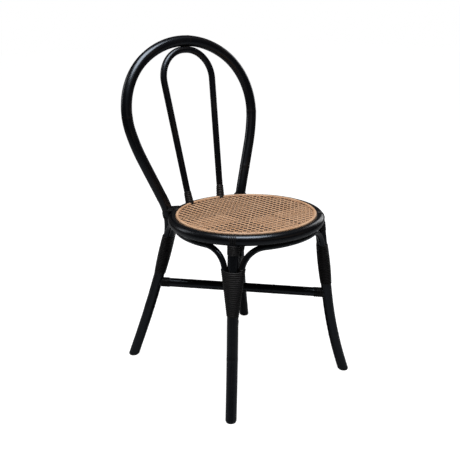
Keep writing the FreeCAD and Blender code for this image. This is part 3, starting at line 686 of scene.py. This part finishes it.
def place_piece(name, mesh, cad_node):
    """A finished piece: its object at the origin, riding with the chair, in place of a CAD node."""
    piece = bpy.data.objects.new(name, mesh)
    bpy.context.scene.collection.objects.link(piece)
    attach(piece, BODY)
    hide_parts(cad_node)


def place_pole(cad_node, mesh):
    place_piece(cad_node + "_pole", mesh, cad_node)


def place_peel(cad_node, mesh):
    place_piece(cad_node + "_peel", mesh, cad_node)


def pole_mesh(points, diameter, spacing, seed, material="stained pole", step=0.003, closed=False, swell=None,
              sides=40):
    """A pole along points, with growth nodes about one spacing apart."""
    if swell is None:
        swell = settings("chair_poles").node_swell
    return grown("rattan_pole", {
        "Radius": diameter / 2, "Node Spacing": spacing, "Seed": seed, "Step": step, "Sides": sides,
        "Node Swell": swell, "Material": finish(material)}, drawn([points], closed))


def winding(frame_at, run, bottom, top, seed, top_depth=1.0, edge_lift=0.0):
    """A wound sleeve of peel in a frame: its length, its radii at both ends and the depth of its top."""
    b = settings("peel_bindings")
    mesh = grown("peel_winding", {
        "Length": run, "Bottom Radius": bottom, "Top Radius": top, "Top Depth": top_depth, "Pitch": b.pitch,
        "Width": b.strand, "Thickness": b.thickness, "Seed": seed, "Edge Lift": edge_lift,
        "Material": finish("stained peel")})
    mesh.transform(frame_at)
    return mesh


def strands(loops, thickness):
    """Strands of peel along closed loops drawn clockwise in the XY plane."""
    return grown("peel_strand", {"Width": settings("peel_bindings").lash_strand, "Thickness": thickness,
                                 "Material": finish("stained peel")}, drawn(loops, True))


def cut_off(made, point, way):
    """Cuts away what lies past a point in one direction, and closes the cut."""
    cut = bmesh.ops.bisect_plane(made, geom=made.verts[:] + made.edges[:] + made.faces[:], plane_co=point,
                                 plane_no=way, clear_outer=True)
    rim = [item for item in cut["geom_cut"] if isinstance(item, bmesh.types.BMEdge)]
    bmesh.ops.holes_fill(made, edges=rim, sides=0)


def cut_flat(mesh, height):
    """Cuts a mesh off below a height."""
    made = bmesh.new()
    made.from_mesh(mesh)
    cut_off(made, (0, 0, height), (0, 0, -1))
    made.to_mesh(mesh)
    made.free()
    return mesh


PARE_REACH = 0.07
PARE_FIT = 0.98


def pare(mesh, leg):
    """Draws the part of a brace below the top of a leg's wrap into the space inside the wrap."""
    place, run = wrap_frame(leg)
    narrow, wide = wrap_half_widths(leg)
    inverse = place.inverted()
    for vertex in mesh.vertices:
        local = inverse @ vertex.co
        if local.z > run or math.hypot(local.x, local.y) > PARE_REACH:
            continue
        width = narrow + (wide - narrow) * max(local.z, 0) / run
        out = math.hypot(local.x / width, local.y / narrow)
        if out > PARE_FIT:
            vertex.co = place @ Vector((local.x * PARE_FIT / out, local.y * PARE_FIT / out, local.z))


# finishes

BROAD_STREAK = (0.28, 0.28, 0.45)


def blend(tree, share, first, second):
    """A mix of two colours, each a colour or another node's output."""
    made = node(tree, "ShaderNodeMix", data_type="RGBA")
    share_in, *colours_in = [item for item in made.inputs if item.enabled]
    feed(tree, share_in, share)
    for socket, value in zip(colours_in, (first, second)):
        feed(tree, socket, value if isinstance(value, bpy.types.NodeSocket) else (*value, 1))
    return next(item for item in made.outputs if item.enabled)


def scaled(tree, place, factors):
    return node(tree, "ShaderNodeVectorMath", {0: place, 1: factors}, operation="MULTIPLY").outputs[0]


def grain_group():
    """Streaks and patches along a pole or strand, from its straightened coordinates."""
    tree, given, output = new_tree("fibre_grain", "ShaderNodeTree", {
        "Grain": "Vector", "Across": 900.0, "Along": 14.0, "Patch Scale": 18.0},
        {"Streak": "Float", "Fine": "Float", "Patch": "Float"})
    stretch = vector(tree, given["Across"], given["Across"], given["Along"])
    fine = scaled(tree, given["Grain"], stretch)
    broad = scaled(tree, fine, BROAD_STREAK)
    for name, place, scale, detail in (("Streak", broad, 1.0, 3.0), ("Fine", fine, 1.0, 3.0),
                                       ("Patch", given["Grain"], given["Patch Scale"], 2.0)):
        noise = node(tree, "ShaderNodeTexNoise", {"Vector": place, "Scale": scale, "Detail": detail})
        feed(tree, output.inputs[name], noise.outputs["Fac"])
    return tree


def attribute(tree, name, output="Fac"):
    return node(tree, "ShaderNodeAttribute", attribute_name=name).outputs[output]


def grain_masks(tree, across, along, patch_scale):
    """The grain group placed in a material: its streak, fine and patch masks."""
    made = tree.nodes.new("ShaderNodeGroup")
    made.node_tree = bpy.data.node_groups.get("fibre_grain") or grain_group()
    sizes = {"Grain": attribute(tree, "grain", "Vector"), "Across": across, "Along": along,
             "Patch Scale": patch_scale}
    for name, value in sizes.items():
        feed(tree, made.inputs[name], value)
    return [made.outputs[name] for name in ("Streak", "Fine", "Patch")]


def blank_material(name, base, roughness):
    material = bpy.data.materials.new(name)
    material.use_nodes = True
    shader = material.node_tree.nodes["Principled BSDF"].inputs
    shader["Base Color"].default_value = (*base, 1)
    shader["Roughness"].default_value = roughness
    return material, material.node_tree, shader


def relief(tree, shader, height, distance):
    bump = node(tree, "ShaderNodeBump", {"Height": height, "Distance": distance, "Strength": 1.0})
    feed(tree, shader["Normal"], bump.outputs[0])


def stained_pole():
    """Black stain over smooth rattan: satin, with brown streaks where it is thin, most at the nodes."""
    c = settings("chair_colours")
    material, tree, shader = blank_material("stained pole", c.stain, 0.34)
    streak, fine, patch = grain_masks(tree, across=900.0, along=14.0, patch_scale=18.0)
    thin = times(tree, ramp(tree, streak, 0.5, 0.72), ramp(tree, patch, 0.42, 0.62), 0.45)
    scar = times(tree, ramp(tree, attribute(tree, "knot"), 0.45, 0.95), ramp(tree, fine, 0.35, 0.7), 0.5)
    feed(tree, shader["Base Color"], blend(tree, calc(tree, "MAXIMUM", thin, scar), c.stain, c.worn))
    feed(tree, shader["Roughness"], ramp(tree, streak, 0.3, 0.75, 0.2, 0.34))
    relief(tree, shader, calc(tree, "ADD", fine, times(tree, streak, 1.5)), 0.00009)
    shader["Specular IOR Level"].default_value = 0.42
    # The bluish tint of these reflections is painted light: it stands in for the cool colour of the light on
    # the poles.
    shader["Specular Tint"].default_value = (0.8, 0.88, 1.0, 1)
    return material


def stained_peel():
    """Black stained peel: matt strips with long fibres and rubbed edges."""
    c = settings("chair_colours")
    material, tree, shader = blank_material("stained peel", c.peel, 0.6)
    _, fine, patch = grain_masks(tree, across=2600.0, along=60.0, patch_scale=40.0)
    worn = times(tree, ramp(tree, fine, 0.5, 0.75), ramp(tree, patch, 0.4, 0.65), 0.5)
    feed(tree, shader["Base Color"], blend(tree, worn, c.peel, c.peel_edge))
    feed(tree, shader["Roughness"], ramp(tree, patch, 0.3, 0.7, 0.38, 0.58))
    relief(tree, shader, fine, 0.00012)
    shader["Specular IOR Level"].default_value = 0.34
    shader["Specular Tint"].default_value = (1.0, 0.94, 0.92, 1)
    return material


def natural_cane():
    """Natural cane strands: each its own tan, with a smooth rind and faint growth marks."""
    c = settings("chair_colours")
    material, tree, shader = blank_material("natural cane", c.cane, 0.38)
    _, fine, patch = grain_masks(tree, across=2400.0, along=45.0, patch_scale=24.0)
    shade = calc(tree, "ADD", times(tree, attribute(tree, "tint"), 0.5), times(tree, patch, 0.6))
    base = blend(tree, ramp(tree, shade, 0.35, 0.8), c.cane, c.cane_pale)
    dark = times(tree, ramp(tree, fine, 0.5, 0.8), 0.55)
    feed(tree, shader["Base Color"], blend(tree, dark, base, c.cane_dark))
    feed(tree, shader["Roughness"], ramp(tree, fine, 0.3, 0.7, 0.3, 0.5))
    relief(tree, shader, fine, 0.00006)
    return material


def natural_reed():
    """The round reed of the border: bare core, paler than the cane, with fine long fibres."""
    c = settings("chair_colours")
    material, tree, shader = blank_material("natural reed", c.cane_pale, 0.5)
    _, fine, patch = grain_masks(tree, across=1500.0, along=10.0, patch_scale=14.0)
    base = blend(tree, ramp(tree, patch, 0.35, 0.65), c.cane, c.cane_pale)
    dark = times(tree, ramp(tree, fine, 0.52, 0.75), 0.5)
    feed(tree, shader["Base Color"], blend(tree, dark, base, c.cane_dark))
    relief(tree, shader, fine, 0.0001)
    return material


def speckled(name, base, second, roughness, metallic, scale):
    """A plain finish with fine uneven colour and roughness."""
    material, tree, shader = blank_material(name, base, roughness)
    place = node(tree, "ShaderNodeTexCoord").outputs["Object"]
    noise = node(tree, "ShaderNodeTexNoise", {"Vector": place, "Scale": scale, "Detail": 4.0}).outputs["Fac"]
    feed(tree, shader["Base Color"], blend(tree, ramp(tree, noise, 0.35, 0.7), base, second))
    feed(tree, shader["Roughness"], ramp(tree, noise, 0.3, 0.7, roughness * 0.8, roughness * 1.2))
    relief(tree, shader, noise, 0.0001)
    shader["Metallic"].default_value = metallic
    return material


GRAINED = {"stained pole": stained_pole, "stained peel": stained_peel, "natural cane": natural_cane,
           "natural reed": natural_reed}
# name: colour setting, second colour, roughness, metallic, scale of the speckles
SPECKLED = {
    "seat backing": ("backing", (0.060, 0.031, 0.018), 0.9, 0.0, 900.0),
    "cane slips": ("slips", (0.17, 0.09, 0.05), 0.7, 0.0, 700.0),
    "black glide": ("glide", (0.03, 0.03, 0.03), 0.55, 0.0, 180.0),
    "bare dowel": ("dowel", (0.38, 0.24, 0.13), 0.6, 0.0, 180.0),
    "zinc screw": ("zinc", (0.45, 0.45, 0.46), 0.35, 1.0, 180.0),
}


def finish(name):
    """A finish by name, made when it is first asked for."""
    material = bpy.data.materials.get(name)
    if material:
        return material
    if name in GRAINED:
        return GRAINED[name]()
    base, *others = SPECKLED[name]
    return speckled(name, getattr(settings("chair_colours"), base), *others)


def dress(material, *nodes):
    """Gives CAD nodes a material in place of their plain one."""
    for name in nodes:
        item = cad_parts[name]
        item.data.materials.clear()
        item.data.materials.append(material)


# operators

class ChairOperator(bpy.types.Operator):
    """What the chair's operators share"""
    bl_options = {"REGISTER", "UNDO"}


class CHAIR_OT_seat_ring(ChairOperator):
    """Bends the pole of the seat ring"""
    bl_idname = "chair.seat_ring"
    bl_label = "Seat Ring"

    def execute(self, context):
        p = settings("chair_poles")
        mesh = pole_mesh(ring_points(p.ring_radius), p.ring_pole, spacing=0.31, seed=3, closed=True,
                         swell=0.012)
        place_pole("seat_ring", mesh)
        return {"FINISHED"}


class CHAIR_OT_back_hoop(ChairOperator):
    """Bends the long pole of the back hoop and rear legs"""
    bl_idname = "chair.back_hoop"
    bl_label = "Back Hoop and Rear Legs"

    def execute(self, context):
        p = settings("chair_poles")
        half, radii, crown = hoop_half()
        corners = [mirrored(corner, LEFT) for corner in half] + [crown] + half[::-1]
        points = rounded_path(corners, radii + [p.crown_radius] + radii[::-1])
        mesh = pole_mesh(points, p.hoop_pole, spacing=0.29, seed=7)
        place_pole("back_hoop", cut_flat(mesh, p.glide_height))
        return {"FINISHED"}


class CHAIR_OT_inner_hoop(ChairOperator):
    """Bends the thin pole inside the back hoop"""
    bl_idname = "chair.inner_hoop"
    bl_label = "Inner Hoop"

    def execute(self, context):
        p = settings("chair_poles")
        foot, corner, _ = inner_hoop_ends()
        corners = [mirrored(foot, LEFT), mirrored(corner, LEFT), corner, foot]
        points = rounded_path(corners, [p.inner_crown_radius] * 2)
        place_pole("inner_hoop", pole_mesh(points, p.inner_pole, spacing=0.24, seed=11))
        return {"FINISHED"}


class CHAIR_OT_front_legs(ChairOperator):
    """Bends the two front legs"""
    bl_idname = "chair.front_legs"
    bl_label = "Front Legs"

    def execute(self, context):
        p = settings("chair_poles")
        top = on_ring(p.ring_radius, -p.front_angle)
        knee = from_seat_axis(p.front_knee)
        end = at_height(knee, from_seat_axis(p.front_foot), -p.front_pole / 2)
        for seed, (name, side) in enumerate(SIDES.items(), start=20):
            corners = [mirrored(point, side) for point in (end, knee, top)]
            points = rounded_path(corners, [p.front_knee_radius])
            mesh = pole_mesh(points, p.front_pole, spacing=0.27, seed=seed)
            place_pole("front_leg_" + name, cut_flat(mesh, p.glide_height))
        return {"FINISHED"}


class CHAIR_OT_braces(ChairOperator):
    """Bends the four arched braces and pares their ends to fit the leg wraps"""
    bl_idname = "chair.braces"
    bl_label = "Braces"

    ENDS = {"front": ("front_left", "front_right"), "right": ("front_right", "rear_right"),
            "back": ("rear_right", "rear_left"), "left": ("rear_left", "front_left")}

    def path(self, legs, ends):
        """Up beside one leg, over an arch, along the ring's underside, and down beside the next leg."""
        p = settings("chair_poles")
        run = p.brace_run_radius
        level = -math.sqrt((p.ring_pole / 2 + p.brace_pole / 2) ** 2 - (p.ring_radius - run) ** 2)
        corners = []
        for key, way in zip(ends, (1, -1)):
            flank = legs[key].flank * (way * p.brace_flank)
            pair = [legs[key].at(p.brace_end) + flank, legs[key].at(p.seat_height + level) + flank]
            corners += pair[::way]
        inside = [ring_frame().inverted() @ corner for corner in corners[1:3]]
        reach = [math.acos(run / math.hypot(point.x, point.y)) for point in inside]
        turn = [math.atan2(point.y, point.x) for point in inside]
        if turn[1] < turn[0]:
            turn[1] += 2 * math.pi
        arc_half = (turn[1] - reach[1] - turn[0] - reach[0]) / 2
        radii = [p.brace_arch_radius] * 2
        if arc_half > 0:
            corners.insert(2, on_ring(run / math.cos(arc_half), turn[0] + reach[0] + arc_half, level))
            radii.insert(1, run)
        return rounded_path(corners, radii)

    def execute(self, context):
        p = settings("chair_poles")
        legs = leg_lines()
        for seed, (name, ends) in enumerate(self.ENDS.items(), start=30):
            mesh = pole_mesh(self.path(legs, ends), p.brace_pole, spacing=0.21, seed=seed, step=0.0025,
                             sides=28)
            for key in ends:
                pare(mesh, legs[key])
            place_pole("brace_" + name, mesh)
        return {"FINISHED"}


class CHAIR_OT_stretchers(ChairOperator):
    """Lays the two crossed stretchers"""
    bl_idname = "chair.stretchers"
    bl_label = "Stretchers"

    def execute(self, context):
        p = settings("chair_poles")
        ends = stretcher_ends()
        for seed, (name, (rear, front)) in enumerate(STRETCHERS.items(), start=40):
            mesh = pole_mesh([ends[rear], ends[front]], p.stretcher_pole, spacing=0.25, seed=seed)
            place_pole("stretcher_" + name, mesh)
        return {"FINISHED"}


class CHAIR_OT_cane_seat(ChairOperator):
    """Weaves the cane seat and lays its round border"""
    bl_idname = "chair.cane_seat"
    bl_label = "Cane Seat"

    PALE_BLOCKS = ((0, -1), (-1, 0), (1, -1))
    PAIR_SPREAD = 0.54
    # rise of the strands over each other, as shares of their thickness
    LENGTHWISE_RISE, CROSSWISE_RISE, DIAGONAL_RISE = 0.55, 0.45, 1.1

    def web(self, **sizes):
        s = settings("cane_seat")
        shared = {"Disc Radius": s.border_radius, "Thickness": s.thickness}
        return grown("cane_strands", shared | sizes | {"Material": finish("natural cane")})

    def straight_strands(self):
        """Pairs of strands lengthwise, and pairs crosswise that lie over and under them."""
        s = settings("cane_seat")
        apart = s.strand * self.PAIR_SPREAD
        shared = dict(Count=2 * math.ceil(s.border_radius / s.pitch), Spacing=s.pitch, Wave=s.pitch,
                      Width=s.strand)
        lengthwise = [self.web(**shared, Offset=apart * way, Seed=5 + way, Step=s.pitch / 6,
                               Phase=s.pitch / 2, Height=s.thickness * self.LENGTHWISE_RISE * way)
                      for way in (-1, 1)]
        crosswise = [self.web(**shared, Offset=apart * way, Seed=19 + way, Step=s.pitch / 8,
                              Phase=s.pitch / 2 - apart, Height=s.thickness * self.CROSSWISE_RISE,
                              Turn=math.pi / 2) for way in (-1, 1)]
        return joined(lengthwise + crosswise)

    def diagonal_strands(self):
        """Single strands both ways across, which pass midway between the crossings of the pairs."""
        s = settings("cane_seat")
        spacing, wave = s.pitch / math.sqrt(2), s.pitch * math.sqrt(2)
        return joined([self.web(
            Count=2 * math.ceil(s.border_radius * math.sqrt(2) / s.pitch) - 2, Spacing=spacing, Wave=wave,
            Width=s.diagonal, Height=s.thickness * self.DIAGONAL_RISE * way, Alternate=0.5,
            Turn=math.pi / 4 * way, Step=s.pitch / 6, Seed=20 + way) for way in (1, -1)])

    def sheet(self, level, material, sides=()):
        """A thin round sheet in the seat's plane, cut off at sides given as (point, way out)."""
        s = settings("cane_seat")
        made = bmesh.new()
        middle = Matrix.Translation((0, 0, level + s.backing / 2))
        bmesh.ops.create_cone(made, cap_ends=True, segments=180, radius1=s.border_radius,
                              radius2=s.border_radius, depth=s.backing, matrix=middle)
        for point, way in sides:
            cut_off(made, point, way)
        made.transform(ring_frame())
        mesh = bpy.data.meshes.new("sheet")
        made.to_mesh(mesh)
        made.free()
        mesh.materials.append(finish(material))
        return mesh

    def backing(self):
        """The dark sheet that closes the web from below."""
        return self.sheet(settings("cane_seat").backing_rise, "seat backing")

    def pale_blocks(self):
        """Slips of cane that fill the holes in some blocks of the web, with open rows between the blocks."""
        s = settings("cane_seat")
        blocks = []
        for column, row in self.PALE_BLOCKS:
            sides = []
            for place, axis in ((column, X_AXIS), (row, Y_AXIS)):
                for way in (1, -1):
                    if place != way:
                        edge = way * (s.block / 2 - s.block_gap / 2) + place * s.block
                        sides.append((axis * edge, axis * way))
            blocks.append(self.sheet(s.backing_rise + s.backing / 2, "cane slips", sides))
        return joined(blocks)

    def execute(self, context):
        s = settings("cane_seat")
        webs = {"cane_web_straight": self.straight_strands(), "cane_web_diagonal": self.diagonal_strands()}
        for name, mesh in webs.items():
            mesh.transform(ring_frame() @ Matrix.Translation((0, 0, s.rise)))
            place_piece(name, mesh, "cane_panel")
        place_piece("cane_backing", self.backing(), "cane_panel")
        place_piece("cane_slips", self.pale_blocks(), "cane_panel")
        reed = pole_mesh(ring_points(s.border_radius, s.border_rise), s.border, spacing=9.0, seed=60,
                         material="natural reed", closed=True, swell=0.0, sides=20)
        place_piece("cane_border_reed", reed, "cane_border")
        return {"FINISHED"}


class CHAIR_OT_leg_wraps(ChairOperator):
    """Winds peel round each leg and its two brace ends"""
    bl_idname = "chair.leg_wraps"
    bl_label = "Leg Wraps"

    def execute(self, context):
        lift = settings("peel_bindings").edge_lift
        for seed, (key, leg) in enumerate(leg_lines().items(), start=50):
            place, run = wrap_frame(leg)
            narrow, wide = wrap_half_widths(leg)
            mesh = winding(place, run, narrow, wide, seed, top_depth=narrow / wide, edge_lift=lift)
            place_peel("leg_wrap_" + key, mesh)
        return {"FINISHED"}


class CHAIR_OT_sleeves(ChairOperator):
    """Winds the collars, the stretcher bindings and the wraps on the inner hoop's feet"""
    bl_idname = "chair.sleeves"
    bl_label = "Collars and Bindings"

    # how far the collars, bindings and foot wraps run into the poles that they end at
    COLLAR_START, COLLAR_SINK, BINDING_SINK, FOOT_WRAP_SINK = 0.001, 0.004, 0.003, 0.001

    def collar(self, leg, seed):
        p, b = settings("chair_poles"), settings("peel_bindings")
        top = leg.at(p.seat_height - p.ring_pole / 2 + self.COLLAR_START)
        place = axes_frame(top + leg.down * b.collar_length, -leg.down, X_AXIS)
        return winding(place, b.collar_length + self.COLLAR_SINK, leg.radius, leg.radius, seed)

    def foot_wrap(self, side, seed):
        p, b = settings("chair_poles"), settings("peel_bindings")
        foot, _, lean = inner_hoop_ends()
        way = mirrored(lean, side)
        place = axes_frame(mirrored(foot, side) - way * self.FOOT_WRAP_SINK, way, X_AXIS)
        return winding(place, b.foot_wrap_length, p.inner_pole / 2 + b.foot_wrap_flare - b.thickness,
                       p.inner_pole / 2, seed)

    def execute(self, context):
        p, b = settings("chair_poles"), settings("peel_bindings")
        legs = leg_lines()
        for seed, (name, side) in enumerate(SIDES.items(), start=70):
            place_peel("leg_collar_" + name, self.collar(legs["front_" + name], seed))
            place_peel("hoop_foot_wrap_" + name, self.foot_wrap(side, seed + 5))
        ends = stretcher_ends()
        for seed, (rear, front) in enumerate(STRETCHERS.values(), start=80):
            run = (ends[front] - ends[rear]).normalized()
            for key, way in ((rear, run), (front, -run)):
                place = axes_frame(ends[key] + way * (legs[key].radius - self.BINDING_SINK), way, Z_AXIS)
                place_peel("stretcher_binding_" + key, winding(place, b.binding_length, p.stretcher_pole / 2,
                                                               p.stretcher_pole / 2, seed))
        return {"FINISHED"}


class CHAIR_OT_lashings(ChairOperator):
    """Lashes the ring to the legs and the hoop, and the stretchers to each other"""
    bl_idname = "chair.lashings"
    bl_label = "Lashings"

    LOOP_STEPS = 24
    LAYERS = (1.0, 0.86, 0.72)
    # half the straight run and the depth of the ends of the crossing's bands, as shares of the pole's radius
    CROSSING_REACH, CROSSING_CAP = 0.664214, 0.9

    def band(self, middle, outward, way, reach, half_width, cap):
        """Loops, side by side, round two poles: straight sides and half ovals over the far sides."""
        b = settings("peel_bindings")
        turns = [math.pi / 2 - math.pi * step / self.LOOP_STEPS for step in range(self.LOOP_STEPS + 1)]
        half_loop = [(reach + cap * math.cos(turn), half_width * math.sin(turn)) for turn in turns]
        loops = []
        for index in range(b.lash_strands):
            level = (index - (b.lash_strands - 1) / 2) * b.lash_pitch
            loops.append([Vector((end * x, end * y, level)) for end in (1, -1) for x, y in half_loop])
        mesh = strands(loops, b.thickness)
        mesh.transform(axes_frame(middle, way, outward))
        return mesh

    def ring_lashing(self, side):
        """Single strands side by side round the ring, over the top of a front leg."""
        p, b = settings("chair_poles"), settings("peel_bindings")
        radius = p.ring_pole / 2
        steps = 2 * self.LOOP_STEPS
        turns = [-2 * math.pi * step / steps for step in range(steps)]
        loop = [Vector((radius * math.cos(turn), radius * math.sin(turn), 0)) for turn in turns]
        meshes = []
        for index in range(b.ring_strands):
            shift = (index - (b.ring_strands - 1) / 2) * b.ring_pitch / p.ring_radius
            turn = -p.front_angle + shift if side == RIGHT else math.pi + p.front_angle + shift
            mesh = strands([loop], b.ring_thickness)
            centre = on_ring(p.ring_radius, turn)
            spoke = (centre - on_ring(0, 0)).normalized()
            mesh.transform(axes_frame(centre, spoke.cross(ring_frame().to_3x3() @ Z_AXIS), spoke))
            meshes.append(mesh)
        return joined(meshes)

    def hoop_lashing(self, side):
        """Layers of bands that cross over the joint of the hoop and the ring."""
        p = settings("chair_poles")
        middle, outward, along = hoop_joint(side)
        across = outward.cross(along)
        radius = (p.ring_pole + p.hoop_pole) / 4
        bands = []
        for size in [radius * share for share in self.LAYERS]:
            for slant in (1, -1):
                way = outward.cross((along + across * slant).normalized())
                bands.append(self.band(middle, outward, way, size, size * math.sqrt(2), size))
        return joined(bands)

    def crossing_lashing(self):
        """Two bands square to each other round the crossing of the stretchers."""
        low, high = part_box("crossing_lashing")
        radius = settings("chair_poles").stretcher_pole / 2
        return joined([self.band((low + high) / 2, way, way.cross(Z_AXIS), radius * self.CROSSING_REACH,
                                 radius, radius * self.CROSSING_CAP) for way in (X_AXIS, Y_AXIS)])

    def execute(self, context):
        for name, side in SIDES.items():
            place_peel("ring_lashing_" + name, self.ring_lashing(side))
            place_peel("hoop_lashing_" + name, self.hoop_lashing(side))
        place_peel("crossing_lashing", self.crossing_lashing())
        return {"FINISHED"}


class CHAIR_OT_fixings(ChairOperator):
    """Finishes the foot glides and the hidden dowels, screws and nails"""
    bl_idname = "chair.fixings"
    bl_label = "Glides and Fixings"

    def execute(self, context):
        dress(finish("black glide"), *[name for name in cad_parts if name.startswith("foot_glide")])
        dress(finish("bare dowel"), "crown_pin", "inner_hoop_dowels", "stretcher_dowels")
        dress(finish("zinc screw"), "leg_screws", "hoop_screws", "glide_nails", "brace_nails")
        return {"FINISHED"}


class CHAIR_OT_stage(ChairOperator):
    """Sets up the white floor, the soft lights and the camera"""
    bl_idname = "chair.stage"
    bl_label = "Studio"

    FLOOR_SIZE = 24
    FLOOR_WHITE = 0.99
    # name: place, target, width and height, power setting, tone
    LAMPS = {
        "overhead softbox": ((-0.3, -0.35, 2.5), (0, 0, 0.4), (1.3, 1.3), "key_power", (0.93, 0.97, 1.0)),
        "side light": ((2.4, 0.6, 1.2), (0, 0, 0.4), (0.8, 1.6), "fill_power", (1, 1, 1)),
        "back light": ((-1.6, 2.2, 1.6), (0, 0, 0.5), (0.8, 1.6), "fill_power", (1, 1, 1)),
    }

    def floor(self):
        bpy.ops.mesh.primitive_plane_add(size=self.FLOOR_SIZE, location=(0, 0, 0))
        floor = bpy.context.object
        floor.name = "studio_floor"
        material, tree, shader = blank_material("studio floor", settings("studio_stage").floor_colour, 0.9)
        shader["Specular IOR Level"].default_value = 0.0
        shader["Emission Color"].default_value = (1, 1, 1, 1)
        seen = node(tree, "ShaderNodeLightPath").outputs["Is Camera Ray"]
        feed(tree, shader["Emission Strength"], times(tree, seen, self.FLOOR_WHITE))
        floor.data.materials.append(material)

    def surroundings(self):
        world = bpy.data.worlds.new("studio")
        bpy.context.scene.world = world
        world.use_nodes = True
        tree = world.node_tree
        back = tree.nodes["Background"].inputs
        seen = node(tree, "ShaderNodeLightPath").outputs["Is Camera Ray"]
        strength = node(tree, "ShaderNodeMix", {0: seen, 2: settings("studio_stage").world, 3: 1.0},
                        data_type="FLOAT")
        back["Color"].default_value = (1, 1, 1, 1)
        feed(tree, back["Strength"], strength.outputs[0])

    def lamp(self, name, place, target, size, power, tone):
        data = bpy.data.lights.new(name, "AREA")
        data.shape = "RECTANGLE"
        data.size, data.size_y = size
        data.energy = getattr(settings("studio_stage"), power)
        data.color = tone
        lamp = bpy.data.objects.new(name, data)
        lamp.location = place
        lamp.rotation_euler = (Vector(target) - Vector(place)).to_track_quat("-Z", "Y").to_euler()
        bpy.context.scene.collection.objects.link(lamp)

    def camera(self):
        g = settings("studio_stage")
        data = bpy.data.cameras.new("camera")
        data.sensor_width = 36
        data.lens = g.lens
        data.shift_x, data.shift_y = g.shift_x, g.shift_y
        data.clip_end = 50
        camera = bpy.data.objects.new("camera", data)
        turn = Matrix.Rotation(g.camera_turn, 4, "Z") @ Matrix.Rotation(math.pi / 2 - g.camera_pitch, 4, "X")
        turn = turn @ Matrix.Rotation(g.camera_roll, 4, "Z")
        camera.matrix_world = Matrix.Translation(from_seat_axis(g.camera)) @ turn
        bpy.context.scene.collection.objects.link(camera)
        bpy.context.scene.camera = camera

    def execute(self, context):
        self.floor()
        self.surroundings()
        for name, values in self.LAMPS.items():
            self.lamp(name, *values)
        self.camera()
        context.scene.view_settings.view_transform = "Standard"
        return {"FINISHED"}


PIECES = [CHAIR_OT_seat_ring, CHAIR_OT_back_hoop, CHAIR_OT_inner_hoop, CHAIR_OT_front_legs, CHAIR_OT_braces,
          CHAIR_OT_stretchers, CHAIR_OT_cane_seat, CHAIR_OT_leg_wraps, CHAIR_OT_sleeves, CHAIR_OT_lashings,
          CHAIR_OT_fixings, CHAIR_OT_stage]
GROUPS_OF_SETTINGS = {"chair_poles": ChairPoles, "peel_bindings": PeelBindings, "cane_seat": CaneSeat,
                      "chair_colours": ChairColours, "studio_stage": StudioStage}


class CHAIR_PT_panel(bpy.types.Panel):
    """Lists the chair's pieces and settings"""
    bl_label = "Rattan Bistro Chair"
    bl_idname = "CHAIR_PT_panel"
    bl_space_type = "VIEW_3D"
    bl_region_type = "UI"
    bl_category = "Chair"

    def draw(self, context):
        for operator in PIECES:
            self.layout.operator(operator.bl_idname)
        for name, group in GROUPS_OF_SETTINGS.items():
            box = self.layout.box()
            box.label(text=name.replace("_", " ").capitalize())
            for key in group.__annotations__:
                box.prop(getattr(context.scene, name), key)


def register():
    for name, group in GROUPS_OF_SETTINGS.items():
        bpy.utils.register_class(group)
        setattr(bpy.types.Scene, name, bpy.props.PointerProperty(type=group))
    for item in PIECES + [CHAIR_PT_panel]:
        bpy.utils.register_class(item)


def unregister():
    for item in [CHAIR_PT_panel] + PIECES[::-1]:
        bpy.utils.unregister_class(item)
    for name, group in GROUPS_OF_SETTINGS.items():
        delattr(bpy.types.Scene, name)
        bpy.utils.unregister_class(group)


def main():
    register()
    for operator in PIECES:
        name = operator.bl_idname.split(".")[1]
        getattr(bpy.ops.chair, name)()


if __name__ == "__main__":
    main()
